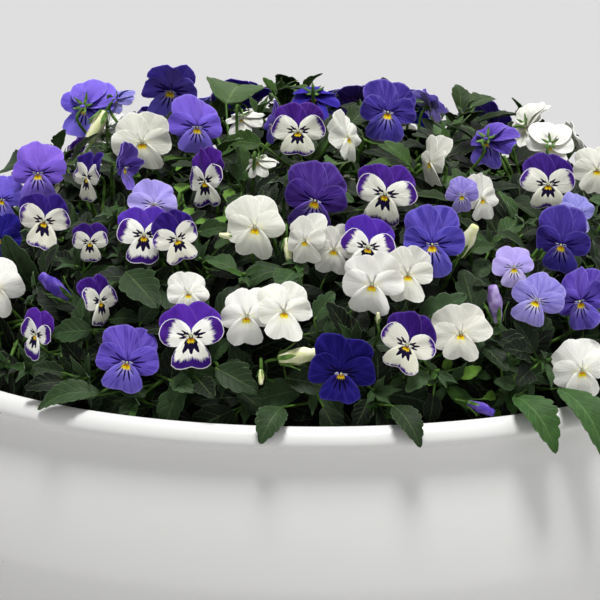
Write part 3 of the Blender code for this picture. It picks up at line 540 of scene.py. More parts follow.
def leaf_finish():
    """A viola's leaf: matte, with a paler midrib and side veins that sink into the blade. Its colour carries
    painted light and shade: a darker, greyer blue-green low down and a brighter green near the top of the
    plants, as if the light fell from above. Its tone differs at random and is set low on leaves deep in the
    mound as painted shade. It is a bright yellow-green while young."""
    made, tree, shader = new_finish(
        "viola_leaf", Roughness=0.52, IOR=1.4, Specular_IOR_Level=0.16, Subsurface_Weight=0.45,
        Subsurface_Scale=0.0010, Subsurface_Radius=(1.0, 1.0, 1.0),
    )
    _, along, side, tone = sheet_places(tree)
    rib = add(tree, "MapRange", side, 0.085, 0.02, **EASED)
    lean = add(tree, "Math", along, 6.0, operation="MULTIPLY")
    lean = add(tree, "Math", side, -1.6, lean, operation="MULTIPLY_ADD")
    vein = add(tree, "Math", add(tree, "Math", lean, operation="FRACT"), 0.5, operation="SUBTRACT")
    vein = add(tree, "Math", vein, operation="ABSOLUTE")
    vein = add(tree, "MapRange", vein, 0.14, 0.02, **EASED)
    where = add(tree, "TexCoord").outputs["Object"]
    mottle = add(tree, "TexNoise", Vector=where, Scale=220.0, Detail=3.0)
    drift = add(tree, "TexNoise", Vector=where, Scale=16.0, Detail=1.0)
    high = add(tree, "SeparateXYZ", where).outputs["Z"]
    # Painted light and shade by height: low leaves get the darker colour and high ones the brighter, with a
    # little noise in the border between them.
    painted_light_by_height = add(tree, "Math", drift, 0.18, high, operation="MULTIPLY_ADD")
    painted_light_by_height = add(tree, "MapRange", painted_light_by_height, 0.45, 0.57, **EASED)
    # A leaf's tone differs at random; leaves deep in the mound get a low tone, which is painted shade.
    tone_and_painted_shade = add(tree, "MapRange", tone, 0.1, 0.8, **EASED)
    low_shaded_colour, high_bright_colour = (
        add(tree, "Mix", tone_and_painted_shade, linear(deep), linear(pale), **COLOURED)
        for deep, pale in (("#10170D", "#364D2D"), ("#151E0C", "#405C28"))
    )
    colour = add(tree, "Mix", painted_light_by_height, low_shaded_colour, high_bright_colour, **COLOURED)
    for start, end, young in ((0.82, 0.88, "#365827"), (0.91, 0.98, "#6C9638")):
        share = add(tree, "MapRange", tone, start, end, **EASED)
        colour = add(tree, "Mix", share, colour, linear(young), **COLOURED)
    value = add(tree, "Math", mottle, 0.9, 0.5, operation="MULTIPLY_ADD")
    colour = add(tree, "HueSaturation", Value=value, Color=colour)
    edge = add(tree, "MapRange", side, 0.94, 1.0, **EASED)
    for line, strength, pale in ((vein, 0.07, "#7C9C62"), (rib, 0.16, "#8CAA6E"), (edge, 0.2, "#7E9C6A")):
        share = add(tree, "Math", line, strength, operation="MULTIPLY")
        colour = add(tree, "Mix", share, colour, linear(pale), **COLOURED)
    sunk = add(tree, "Math", add(tree, "Math", rib, vein, operation="MAXIMUM"), -0.8,
               add(tree, "Math", mottle, 0.8, operation="MULTIPLY"), operation="MULTIPLY_ADD")
    give(tree, shader, Base_Color=colour,
         Normal=add(tree, "Bump", Strength=0.55, Distance=0.0006, Height=sunk))
    return made


def plain_tissue(name, pale, deep, roughness, grain):
    """Smooth green or white plant tissue, mottled at a scale of 1 / grain metres."""
    made, tree, shader = new_finish(name, Roughness=roughness, IOR=1.4, Specular_IOR_Level=0.15)
    where = add(tree, "TexCoord").outputs["Object"]
    mottle = add(tree, "TexNoise", Vector=where, Scale=grain, Detail=2.0)
    mottle = add(tree, "MapRange", mottle, 0.35, 0.65, **EASED)
    give(tree, shader, Base_Color=add(tree, "Mix", mottle, linear(deep), linear(pale), **COLOURED))
    return made


def glaze():
    """White glazed stoneware: an even, glossy skin with fine dark specks and a faint pull in its surface."""
    made, tree, shader = new_finish("white_glazed_stoneware", IOR=1.5, Coat_Weight=0.15,
                                    Coat_Roughness=0.22)
    where = add(tree, "TexCoord").outputs["Object"]
    speck = add(tree, "TexVoronoi", Vector=where, Scale=95.0, feature="F1")
    size = add(tree, "TexNoise", Vector=where, Scale=60.0, Detail=1.0)
    size = add(tree, "MapRange", size, 0.55, 0.8, **EASED)
    size = add(tree, "Math", size, 0.075, -0.004, operation="MULTIPLY_ADD")
    speck = add(tree, "Math", speck, size, operation="LESS_THAN")
    speck = add(tree, "Math", speck, 0.55, operation="MULTIPLY")
    cloud = add(tree, "TexNoise", Vector=where, Scale=9.0, Detail=2.0)
    colour = add(tree, "Mix", cloud, linear("#DEDEDB"), linear("#E3E3E0"), **COLOURED)
    colour = add(tree, "Mix", speck, colour, linear("#6E6A66"), **COLOURED)
    pull = add(tree, "TexNoise", Vector=where, Scale=26.0, Detail=2.0)
    give(tree, shader, Base_Color=colour,
         Roughness=add(tree, "Math", pull, 0.1, 0.34, operation="MULTIPLY_ADD"),
         Normal=add(tree, "Bump", Strength=0.06, Distance=0.001, Height=pull))
    return made


def peat():
    """Peat compost with brown fibres and crumbs a few millimetres across. Its near-black ground is partly the
    moist peat's own dark colour and partly painted shade from the plants over it.
    """
    made, tree, shader = new_finish("peat_compost_painted_shade", Roughness=0.95, Specular_IOR_Level=0.2)
    where = add(tree, "TexCoord").outputs["Object"]
    crumb = add(tree, "TexVoronoi", Vector=where, Scale=220.0)
    fibre = add(tree, "TexNoise", Vector=where, Scale=380.0, Detail=4.0)
    brown = add(tree, "MapRange", fibre, 0.45, 0.75, **EASED)
    height = add(tree, "Math", fibre, 0.5, crumb, operation="MULTIPLY_ADD")
    # The near-black ground colour is partly painted shade under the foliage.
    give(tree, shader, Base_Color=add(tree, "Mix", brown, linear("#0E0A07"), linear("#2C2018"), **COLOURED),
         Normal=add(tree, "Bump", Strength=0.9, Distance=0.002, Height=height))
    return made


def studio_paper():
    """The pale floor."""
    return new_finish("pale_studio_floor", Base_Color=linear("#AFAEAE"), Roughness=0.9,
                      Specular_IOR_Level=0.1)[0]


def sight_line(x, y):
    """The direction that the pixel looks in."""
    across = (x - FRAME / 2) / PIXELS_PER_SLOPE
    rise = (FRAME / 2 - y) / PIXELS_PER_SLOPE
    return (AHEAD + Vector((across, 0.0, 0.0)) + ABOVE * rise).normalized()


def pixel_of(point):
    """The pixel at which a point shows."""
    away = point - EYE
    pixels = PIXELS_PER_SLOPE / away.dot(AHEAD)
    return FRAME / 2 + away.x * pixels, FRAME / 2 - away.dot(ABOVE) * pixels


def on_mound(x, y, behind=0.0):
    """The point of the mound that a pixel shows, moved back along the sight line.

    Past the mound's edge it is the point of the sight line nearest to the mound.
    """
    ray = sight_line(x, y)
    sizes = Vector((MOUND_RADIUS, MOUND_RADIUS, MOUND_HEIGHT))
    start = EYE - Vector((0.0, 0.0, RIM_HEIGHT))
    start = Vector([a / b for a, b in zip(start, sizes)])
    step = Vector([a / b for a, b in zip(ray, sizes)])
    middle = -start.dot(step) / step.dot(step)
    inside = middle * middle - (start.dot(start) - 1) / step.dot(step)
    return EYE + ray * (middle - math.sqrt(max(inside, 0.0)) + behind)


def mound_point(height, turn):
    """The point of the mound at a share of its height and a turn round its axis."""
    flat = MOUND_RADIUS * math.sqrt(1 - height * height)
    return Vector((flat * math.cos(turn), flat * math.sin(turn), RIM_HEIGHT + MOUND_HEIGHT * height))


def outward(point):
    """The way out of the mound at a point."""
    return Vector((point.x / MOUND_RADIUS**2, point.y / MOUND_RADIUS**2,
                   (point.z - RIM_HEIGHT) / MOUND_HEIGHT**2)).normalized()


def real_length(pixels, point):
    """The real length of a stretch of the view at a point."""
    return pixels * (point - EYE).length / PIXELS_PER_SLOPE


def turned(out, upright, yaw, pitch, roll):
    """Axes whose third faces out, turned by yaw, pitch and roll in degrees."""
    out = out.normalized()
    side = upright.cross(out).normalized()
    axes = Matrix((side, out.cross(side), out)).transposed()
    axes = axes @ Matrix.Rotation(math.radians(yaw), 3, "Y")
    axes = axes @ Matrix.Rotation(math.radians(-pitch), 3, "X")
    return axes @ Matrix.Rotation(math.radians(roll), 3, "Z")


def petal_point(petal, u, v):
    """A point of a petal in bloom widths: u runs from the claw to the tip, v from side to side."""
    angle, reach, breadth, layer = petal
    along = reach * u * (1 - 0.05 * v * v)
    spread = max(1 - abs(2 * u**1.5 - 1) ** 2.4, 0.0) ** (1 / 2.4)
    half = 0.5 * breadth * spread * min(u / 0.5, 1.0)
    turn = math.radians(angle)
    x = along * math.sin(turn) + v * half * math.cos(turn)
    y = along * math.cos(turn) - v * half * math.sin(turn)
    curl = -0.10 * (along * along) + 0.04 * u * v * v
    return Vector((x, y, layer * min(u / 0.45, 1.0) + curl))


def bloom_envelope(bloom):
    """Balls that cover a bloom, for keeping others clear of it."""
    inner = [
        petal_point(petal, u, v)
        for petal in PETALS
        for u in (0.34, 0.62, 0.92)
        for v in (-0.75, 0.0, 0.75)
    ]
    inner += [Vector((0, 0, 0)), Vector((0, 0, -0.12))]
    width = bloom["width"]
    points = [bloom["place"] + bloom["axes"] @ (p * width) for p in inner]
    return points, [0.072 * width] * len(points)


def bud_envelope(bud):
    """Balls along a bud."""
    points = [bud["place"] + bud["axes"] @ Vector((0, 0, bud["width"] * k / 6)) for k in range(7)]
    return points, [0.2 * bud["width"]] * len(points)


def line_envelope(path, radius):
    """Balls along a path."""
    points = []
    for a, b in zip(path, path[1:]):
        steps = max(int((b - a).length / 0.004), 1)
        points += [a.lerp(b, k / steps) for k in range(steps + 1)]
    return points, [radius] * len(points)


def blade_axes(leaf):
    """The way along a blade, its side and its face."""
    along = leaf["tip"] - leaf["base"]
    side = along.cross(leaf["face"]).normalized()
    return along, side, side.cross(along).normalized()


def blade_point(leaf, u, v):
    """A point of a blade: u runs from its base to its tip and v from side to side."""
    along, side, face = blade_axes(leaf)
    half = 0.5 * leaf["breadth"] * math.sin(math.pi * u**0.8) ** 0.8 if 0 < u < 1 else 0.0
    droop = leaf["droop"] * along.length * (u - u * u) * 4
    fold = 0.28 * half * v * v
    return leaf["base"] + along * u + side * (v * half) + face * (droop + fold)


def leaf_envelope(leaf):
    """Balls that cover a blade and its stalk."""
    rows = ((0.12, 1), (0.3, 3), (0.5, 3), (0.7, 3), (0.88, 3), (1.0, 1))
    points = []
    for u, count in rows:
        points += [blade_point(leaf, u, v) for v in ((0,) if count == 1 else (-0.85, 0, 0.85))]
    more, _ = line_envelope([leaf["foot"].lerp(leaf["base"], 0.12), leaf["base"]], 0)
    size = 0.1 * leaf["breadth"] + 0.0004
    return points + more, [size] * len(points) + [PETIOLE_RADIUS + 0.0003] * len(more)


class Room:
    """What space is taken, as balls that each belong to a numbered thing."""

    def __init__(self):
        self.points = np.zeros((0, 3))
        self.radii = np.zeros(0)
        self.owners = np.zeros(0, int)

    def clear(self, envelope, ignored=(), gap=0.0008):
        points = np.array([tuple(p) for p in envelope[0]])
        radii = np.array(envelope[1])
        reach = 0.008
        near = ((self.points > points.min(0) - reach) & (self.points < points.max(0) + reach)).all(1)
        near &= ~np.isin(self.owners, list(ignored))
        if not near.any():
            return True
        apart = np.linalg.norm(points[:, None] - self.points[near][None], axis=2)
        return bool((apart - radii[:, None] - self.radii[near][None] > gap).all())

    def take(self, envelope, owner):
        self.points = np.vstack([self.points, [tuple(p) for p in envelope[0]]])
        self.radii = np.append(self.radii, envelope[1])
        self.owners = np.append(self.owners, [owner] * len(envelope[1]))


def inside_pot(points):
    """True where nothing dips into the compost, the wall or the lip."""
    for p in points:
        if p.z < RIM_HEIGHT - COMPOST_DROP + 0.003:
            return False
        if p.z < RIM_HEIGHT + 0.005 and math.hypot(p.x, p.y) > RIM_RADIUS - 0.012:
            return False
    return True


def place_photo_blooms(room):
    """The blooms that the view shows, each moved back until it is clear of those before it."""
    placed = []
    for kind, x, y, pixels, yaw, pitch, roll in BLOOMS:
        for step in range(40):
            place = on_mound(x, y, 0.0015 * step)
            axes = turned(EYE - place, UPRIGHT, yaw, pitch, roll)
            bloom = dict(kind=kind, place=place, axes=axes, width=real_length(pixels, place))
            if room.clear(bloom_envelope(bloom)):
                break
        room.take(bloom_envelope(bloom), len(placed))
        placed.append(bloom)
    return placed


def place_buds(room, placed):
    """The buds, which nod on their stalks among the blooms."""
    for kind, x, y, pixels, lean in BUDS:
        for step in range(30):
            place = on_mound(x, y, 0.004 + 0.002 * step)
            view = turned(EYE - place, UPRIGHT, 0, 0, 0)
            tip = view @ Vector((-math.sin(math.radians(lean)), math.cos(math.radians(lean)), 0.25))
            axes = turned(tip, view @ Vector((0.3, 0.1, 1)), 0, 0, 0)
            length = real_length(pixels, place)
            bud = dict(kind=kind, place=place - axes.col[2] * length / 2, axes=axes, width=length,
                       closed=True)
            if room.clear(bud_envelope(bud)):
                break
        else:
            continue
        room.take(bud_envelope(bud), len(placed))
        placed.append(bud)


def shown(point):
    """True if the view shows this point of the mound."""
    x, _ = pixel_of(point)
    return -MARGIN < x < FRAME + MARGIN and outward(point).dot((EYE - point).normalized()) > -0.02


def past_outline(points):
    """True if the view shows one of the points clearly above the mound's outline."""
    for point in points:
        x, y = pixel_of(point)
        on_or_near = on_mound(x, y + MARGIN) - Vector((0, 0, RIM_HEIGHT))
        flat, high = on_or_near.xy.length / MOUND_RADIUS, on_or_near.z / MOUND_HEIGHT
        if -MARGIN < x < FRAME + MARGIN and flat * flat + high * high > 1.002:
            return True
    return False


def place_more_blooms(room, placed, draw):
    """Blooms on the sides and the back, facing out and a little up, evenly apart."""
    kinds = ("violet", "white", "bicolour", "violet", "white", "bicolour", "lavender", "dark")
    made = 0
    for _ in range(6000):
        if made == MORE_BLOOMS:
            break
        height = draw.uniform(0.10, 1.0)
        turn = draw.uniform(0, 2 * math.pi)
        place = mound_point(height, turn) + Vector((0, 0, draw.uniform(-0.008, 0.002)))
        if shown(place) or any((place - b["place"]).length < SPACING for b in placed):
            continue
        out = Vector((math.cos(turn), math.sin(turn), 0.25 + 0.8 * height**3))
        yaw, pitch, roll = draw.gauss(0, 14), draw.gauss(0, 9), draw.gauss(0, 9)
        axes = turned(out, UPRIGHT, yaw, pitch, roll)
        kind = kinds[made % len(kinds)]
        width = BLOOM_WIDTH * draw.uniform(0.92, 1.12) * (0.8 if kind == "lavender" else 1)
        bloom = dict(kind=kind, place=place, axes=axes, width=width)
        envelope = bloom_envelope(bloom)
        for _ in range(4):
            if past_outline(envelope[0]):
                bloom["place"] = bloom["place"] - Vector((0, 0, 0.004))
                envelope = bloom_envelope(bloom)
        if past_outline(envelope[0]):
            continue
        if inside_pot(envelope[0]) and room.clear(envelope):
            room.take(envelope, len(placed))
            placed.append(bloom)
            made += 1


def gather_shoots(placed):
    """Groups of neighbouring blooms of one colour, each group on one leafy shoot."""
    left = sorted(range(len(placed)), key=lambda k: placed[k]["place"].length)
    shoots = []
    while left:
        first = left.pop()
        kind = placed[first]["kind"]
        group = [first]
        while len(group) < MOST_BLOOMS_PER_SHOOT:
            middle = sum((placed[k]["place"] for k in group), Vector()) / len(group)
            near = [
                k for k in left
                if placed[k]["kind"] == kind and (placed[k]["place"] - middle).length < SHOOT_REACH
            ]
            if not near:
                break
            nearest = min(near, key=lambda k: (placed[k]["place"] - middle).length)
            group.append(nearest)
            left.remove(nearest)
        shoots.append(dict(kind=kind, blooms=group))
    return shoots


def stem_of(shoot, placed, bases):
    """The main stem: from its hole in the compost to a little under the shoot's blooms."""
    middle = sum((placed[k]["place"] for k in shoot["blooms"]), Vector()) / len(shoot["blooms"])
    floor = RIM_HEIGHT - COMPOST_DROP
    for k in range(400):
        ring = 0.004 * math.sqrt(k)
        base = Vector((middle.x * 0.70 + ring * math.cos(2.4 * k),
                       middle.y * 0.70 + ring * math.sin(2.4 * k), floor))
        if all((base - other).length > 0.016 for other in bases) and base.xy.length < 0.225:
            break
    bases.append(base)
    top = base.lerp(Vector((middle.x * 0.93, middle.y * 0.93, middle.z)), 0.58)
    bend = base.lerp(top, 0.5) + Vector((0, 0, 0.006))
    return [base - Vector((0, 0, HOLE_DEPTH - SEAT_GAP)), base + Vector((0, 0, 0.002)), bend, top]


def stem_place(stem, share):
    """A place on the stem above the compost, by its share of the height."""
    return stem[1].lerp(stem[2], 2 * share) if share < 0.5 else stem[2].lerp(stem[3], 2 * share - 1)


def stalk_of(shoot, rank, bloom, room, ignored, draw):
    """A stalk that leaves the stem, rises behind the bloom and hooks over to its back."""
    out = bloom["axes"].col[2]
    back = bloom["place"] - out * (0.08 * bloom["width"] if "closed" not in bloom else 0)
    best = None
    for attempt in range(200):
        share = min(max(0.5 + 0.12 * rank + draw.uniform(-0.1, 0.1), 0.2), 0.98)
        fork = stem_place(shoot["stem"], share)
        loose = 0.0003 * attempt
        low = Vector((draw.uniform(-loose, loose), draw.uniform(-loose, loose), -0.004 - loose / 3))
        behind = back - out * draw.uniform(0.006, 0.010) + low * 0.3
        bow = fork.lerp(behind, draw.uniform(0.4, 0.7))
        bow += Vector((draw.uniform(-loose, loose), draw.uniform(-loose, loose), -0.006))
        path = [fork, bow, behind, back]
        if (bow - behind).dot(back - behind) > -0.1 * (bow - behind).length * (back - behind).length:
            path.insert(2, behind + low * 0.6 + Vector((0, 0, -0.007)) - out * 0.001)
        start = fork.lerp(bow, min(0.004 / (bow - fork).length, 0.5))
        free = line_envelope([start] + path[1:], STALK_RADIUS + 0.0002)
        far = [p for p in free[0] if (p - back).length > 0.009]
        if not inside_pot(free[0]) or not room.clear(free, ignored, 0.0003):
            continue
        if room.clear((far, [STALK_RADIUS] * len(far)), shoot["stem_owner"], 0.0):
            return path, free
        best = best or (path, free)
    return best or (path, free)


def rim_leaf(column, length, breadth, lean, shoots):
    """A leaf whose blade hangs over the lip at a pixel column."""
    across = (column - FRAME / 2) / PIXELS_PER_SLOPE * (VIEW_DISTANCE - RIM_RADIUS) + VIEW_AIM.x
    turn = math.asin(across / (RIM_RADIUS + 0.004))
    out = Vector((math.sin(turn), -math.cos(turn), 0))
    base = out * (RIM_RADIUS - 0.008) + Vector((0, 0, RIM_HEIGHT + 0.0095))
    slant = math.radians(lean)
    flat = UPRIGHT.cross(out)
    over = (out * 0.74 - Vector((0, 0, 0.62))) * math.cos(slant) - flat * math.sin(slant)
    stem = min((s["stem"] for s in shoots), key=lambda s: (s[3] - base).length)
    foot = min((stem_place(stem, k / 10) for k in range(2, 10)), key=lambda p: (p - base).length)
    return dict(base=base, tip=base + over * length, face=out + Vector((0, 0, 1.2)),
                breadth=breadth, droop=0.17, foot=foot)


def owner_of(shoots, foot):
    """The number of the shoot whose stem the foot stands on."""
    def apart(number):
        return min((stem_place(shoots[number]["stem"], k / 20) - foot).length for k in range(21))

    return min(range(len(shoots)), key=apart)


def place_leaves(room, shoots, draw):
    """The leaves over the lip, those that the view shows, and more all round."""
    number = LEAF_OWNERS
    for row in RIM_LEAVES:
        leaf = rim_leaf(*row, shoots)
        shoot = shoots[owner_of(shoots, leaf["foot"])]
        room.take(leaf_envelope(leaf), number)
        shoot["leaves"].append(leaf)
        number += 1
    for x0, y0, x1, y1, behind in LEAVES:
        for step in range(24):
            deep = behind + 0.0015 * step
            base = on_mound(x0, y0, deep)
            tip = on_mound(x1, y1, deep - 0.004)
            ends = sorted(shoots, key=lambda s: (s["stem"][3] - base).length)[:6]
            for shoot in ends:
                foot = min((stem_place(shoot["stem"], k / 10) for k in range(2, 11)),
                           key=lambda p: (p - base).length)
                if (base - foot).dot(tip - base) < 0.1 * (base - foot).length * (tip - base).length:
                    continue
                leaf = dict(base=base, tip=tip, face=(EYE - base).normalized() + Vector((0, 0, 0.4)),
                            breadth=LEAF_BREADTH * (tip - base).length, droop=0.06, foot=foot)
                envelope = leaf_envelope(leaf)
                if inside_pot(envelope[0]) and room.clear(envelope, shoot["stem_owner"]):
                    break
            else:
                continue
            room.take(envelope, number)
            shoot["leaves"].append(leaf)
            number += 1
            break
    for shoot in shoots:
        wanted = LEAVES_PER_SHOOT - min(len(shoot["leaves"]), 1)
        for _ in range(260):
            if wanted <= 0:
                break
            foot = stem_place(shoot["stem"], draw.uniform(0.35, 1.0))
            way = Vector((draw.gauss(0, 1), draw.gauss(0, 1), draw.uniform(0.1, 1.4))).normalized()
            away = Vector((foot.x, foot.y, 0))
            way = (way + away.normalized() * 0.5 * min(away.length / 0.1, 1.0)).normalized()
            base = foot + way * draw.uniform(0.010, 0.034)
            size = LEAF_LENGTH * draw.uniform(0.75, 1.15)
            bend = Vector((draw.gauss(0, 0.25), draw.gauss(0, 0.25), draw.uniform(-0.5, 0.3)))
            tip = base + (way + bend).normalized() * size
            leaf = dict(base=base, tip=tip, face=UPRIGHT + away * 4 + bend * 0.3,
                        breadth=LEAF_BREADTH * size, droop=draw.uniform(0.02, 0.12), foot=foot)
            envelope = leaf_envelope(leaf)
            low = inside_pot(envelope[0])
            if low and within_mound(tip) and room.clear(envelope, shoot["stem_owner"]):
                room.take(envelope, number)
                shoot["leaves"].append(leaf)
                number += 1
                wanted -= 1


def within_mound(point):
    """True if the point is inside the mound or just at its surface."""
    flat = point.xy.length / (MOUND_RADIUS + 0.012)
    high = (point.z - RIM_HEIGHT) / (MOUND_HEIGHT + 0.010)
    return flat * flat + high * high < 1


def layout():
    """Every shoot, with its stem, blooms, stalks and leaves."""
    draw = random.Random(SEED)
    room = Room()
    placed = place_photo_blooms(room)
    place_buds(room, placed)
    place_more_blooms(room, placed, draw)
    shoots = gather_shoots(placed)
    bases = []
    for number, shoot in enumerate(shoots):
        shoot["stem"] = stem_of(shoot, placed, bases)
        shoot["leaves"] = []
        shoot["stem_owner"] = [STEM_OWNERS + number]
        room.take(line_envelope(shoot["stem"][1:], STEM_RADIUS + 0.0003), STEM_OWNERS + number)
    for number, shoot in enumerate(shoots):
        shoot["stalks"] = []
        order = sorted(shoot["blooms"], key=lambda k: placed[k]["place"].z)
        for rank, k in enumerate(order):
            path, envelope = stalk_of(shoot, rank, placed[k], room, [k] + shoot["stem_owner"], draw)
            room.take(envelope, STALK_OWNERS + number)
            shoot["stalks"].append((path, placed[k]))
    place_leaves(room, shoots, draw)
    return shoots


def choose(*pieces):
    """Selects pieces and nothing else, with the first of them active."""
    bpy.ops.object.select_all(action="DESELECT")
    for piece in pieces:
        piece.select_set(True)
    bpy.context.view_layer.objects.active = pieces[0]


@contextlib.contextmanager
def editing(piece):
    """Edit mode on one piece, with nothing selected."""
    choose(piece)
    bpy.ops.object.mode_set(mode="EDIT")
    bpy.ops.mesh.select_mode(type="VERT")
    bpy.ops.mesh.select_all(action="DESELECT")
    yield
    bpy.ops.object.mode_set(mode="OBJECT")


def pick(piece, wanted):
    """In edit mode, selects the vertices that wanted names and nothing else."""
    shape = bmesh.from_edit_mesh(piece.data)
    for vertex in shape.verts:
        vertex.select_set(False)
    for vertex in shape.verts:
        if wanted(vertex):
            vertex.select_set(True)
    shape.select_flush(True)
    bmesh.update_edit_mesh(piece.data)


def pick_all():
    bpy.ops.mesh.select_all(action="SELECT")


def face_out():
    """In edit mode, turns every face outwards."""
    pick_all()
    bpy.ops.mesh.normals_make_consistent(inside=False)


def smooth(piece, finish):
    """Gives a piece its finish and smooth faces."""
    piece.data.materials.append(finish)
    bpy.ops.object.shade_smooth()
    return piece


def toned(piece, tone):
    """Gives every point of a piece its tone."""
    values = piece.data.attributes.new("tone", "FLOAT", "POINT")
    values.data.foreach_set("value", [tone] * len(piece.data.vertices))
    return piece


def move(x=0.0, y=0.0, z=0.0):
    bpy.ops.transform.translate(value=(x, y, z))


def scale(x, y, z, centre=(0, 0, 0)):
    bpy.ops.transform.resize(value=(x, y, z), center_override=centre)


def turn(angle, axis, centre=(0, 0, 0)):
    """Turns what is selected anticlockwise about an axis, in radians."""
    bpy.ops.transform.rotate(value=-angle, orient_axis=axis, center_override=centre)


def solid_sheet(piece, thickness, finish):
    """Gives a sheet its thickness, its finish and smooth faces."""
    choose(piece)
    bpy.ops.object.transform_apply(location=True, rotation=True, scale=True)
    sheet = piece.modifiers.new("sheet", "SOLIDIFY")
    sheet.thickness = thickness
    sheet.offset = 0
    bpy.ops.object.modifier_apply(modifier="sheet")
    piece.data.materials.append(finish)
    bpy.ops.object.shade_smooth_by_angle(angle=CREASE)
    return piece


def joined(pieces, name):
    """Several pieces made one."""
    choose(*pieces)
    bpy.ops.object.join()
    pieces[0].name = name
    bpy.ops.object.transform_apply(location=True, rotation=True, scale=True)
    return pieces[0]


def petal_reach(lean, reach, breadth, square, spread):
    """How far a petal goes from its claw in a direction: to the far side of a squared oval that is wider
    beyond its middle."""
    near, far = 0.001, 2.0 * max(reach, breadth)
    for _ in range(30):
        tried = 0.5 * (near + far)
        ahead = (tried * math.cos(lean) - reach / 2) / (reach / 2)
        across = tried * abs(math.sin(lean)) / (breadth / 2 * (1 + spread * ahead))
        if across**square + abs(ahead) ** square < 1:
            near = tried
        else:
            far = tried
    return near


def petal(finish, form, outline, draw):
    """A petal from a grid. Its columns fan out from the claw to a rounded edge, and its rows rise."""
    angle, reach, breadth, layer, notch, cup = form
    bpy.ops.mesh.primitive_grid_add(
        x_subdivisions=PETAL_COLUMNS, y_subdivisions=PETAL_ROWS, size=1, location=(0, 0.5, 0)
    )
    piece = bpy.context.object
    across = PETAL_COLUMNS + 1
    claw = 0.03
    phases = [draw.uniform(0, 2 * math.pi) for _ in range(3)]
    with editing(piece):
        for column in range(across):
            side = 2 * column / PETAL_COLUMNS - 1
            lean = side * PETAL_FAN
            ray = petal_reach(lean, reach, breadth, *outline)
            ray *= 1 - notch * math.exp(-((side / 0.13) ** 2))
            ray *= 1 + 0.022 * math.sin(4 * side + phases[0]) + 0.016 * math.sin(11 * side + phases[1])
            pleat = 0.020 * math.cos(8 * side + phases[2]) - 0.03 * math.exp(-((side / 0.12) ** 2))
            pick(piece, lambda vertex: vertex.index % across == column)
            scale(0, ray - claw, 1)
            move(0, claw, 0)
            turn(math.atan(cup * side * side + pleat), "X", (0, claw, 0))
            turn(-lean, "Z")
        for row in range(PETAL_ROWS + 1):
            share = row / PETAL_ROWS
            pick(piece, lambda vertex: vertex.index // across == row)
            move(0, 0, layer * min(share / 0.45, 1.0) - 0.10 * (share * reach) ** 2)
        pick_all()
        turn(-math.radians(angle), "Z")
    return solid_sheet(piece, PETAL_SHEET, finish)


def small_blade(finish, length, breadth, back, angle):
    """A narrow pointed blade, such as a sepal, that leans back from the middle of the bloom."""
    bpy.ops.mesh.primitive_grid_add(x_subdivisions=2, y_subdivisions=4, size=1, location=(0, 0.5, 0))
    piece = bpy.context.object
    with editing(piece):
        for row in range(5):
            share = row / 4
            pick(piece, lambda vertex: vertex.index // 3 == row)
            half = breadth * (0.5 + 1.6 * share - 2.05 * share * share)
            scale(max(half, 0.002), 1, 1)
            move(0, share * (length - 1) + 0.03, back - 0.10 * share * share)
        pick(piece, lambda vertex: vertex.index % 3 == 1)
        move(0, 0, -0.008)
        pick_all()
        turn(-math.radians(angle), "Z")
    return solid_sheet(piece, 0.016, finish)


def knob(finish, place, sizes):
    """A rounded knob, drawn out of a ball and flattened at its base."""
    bpy.ops.mesh.primitive_uv_sphere_add(segments=8, ring_count=6, radius=1, location=(0, 0, 0))
    piece = bpy.context.object
    with editing(piece):
        pick(piece, lambda vertex: vertex.co.z < -0.4)
        scale(0.7, 0.7, 0.6)
        pick_all()
        scale(*sizes)
        move(*place)
    return smooth(piece, finish)


def spur(finish):
    """The hollow spur behind a bloom, which curves down to a blunt end."""
    bpy.ops.mesh.primitive_circle_add(vertices=8, radius=0.05, fill_type="NGON", location=(0, -0.02, -0.03))
    piece = bpy.context.object
    with editing(piece):
        pick_all()
        for drop, back, size in SPUR_STEPS:
            bpy.ops.mesh.extrude_region_move(TRANSFORM_OT_translate={"value": (0, drop, back)})
            middle = sum((v.co for v in bmesh.from_edit_mesh(piece.data).verts if v.select), Vector()) / 8
            scale(size, size, 1, piece.matrix_world @ middle)
        face_out()
    return smooth(piece, finish)


def beard(finish, side, draw):
    """The tuft of short pale hairs at the claw of a side petal."""
    hairs = []
    for number in range(TUFT_HAIRS):
        spread = draw.uniform(-0.5, 0.5)
        bpy.ops.mesh.primitive_cone_add(vertices=4, radius1=0.008, radius2=0.002, depth=0.05,
                                        location=(0, 0, 0.025))
        hair = bpy.context.object
        with editing(hair):
            pick_all()
            turn(side * (0.75 + 0.5 * draw.random()), "Y")
            turn(spread, "Z")
            move(side * (0.035 + 0.012 * number % 0.03), draw.uniform(-0.015, 0.03), 0.028)
        hair.data.materials.append(finish)
        hairs.append(hair)
    return hairs


def bloom_pattern(kind, finishes, tissues, draw):
    """A whole bloom one unit wide that faces +Z with its top at +Y."""
    uppers, sides, lower = finishes[kind]
    pieces = []
    for number, (angle, reach, breadth, layer, notch, cup) in enumerate(BLOOM_FORMS[kind]):
        rank = (0, 1, 2, 1, 0)[number]
        form = (angle + draw.uniform(-7, 7), reach * draw.uniform(0.92, 1.05),
                breadth * draw.uniform(0.90, 1.05), layer, notch, cup + draw.uniform(-0.12, 0.07))
        pieces.append(petal((uppers, sides, lower)[rank], form, PETAL_OUTLINES[rank], draw))
    for angle in SEPAL_ANGLES:
        pieces.append(small_blade(tissues["sepal"], draw.uniform(0.14, 0.19), 0.065, -0.11, angle))
    pieces.append(spur(uppers))
    pieces.append(knob(tissues["stigma"], (0, 0.005, 0.033), (0.020, 0.024, 0.026)))
    pieces.append(knob(tissues["sepal"], (0, 0, -0.085), (0.055, 0.055, 0.030)))
    for side in (-1, 1):
        pieces += beard(tissues["hair" if kind in ("white", "bicolour") else "mauve hair"], side, draw)
    return joined(pieces, f"{kind}_bloom_pattern")


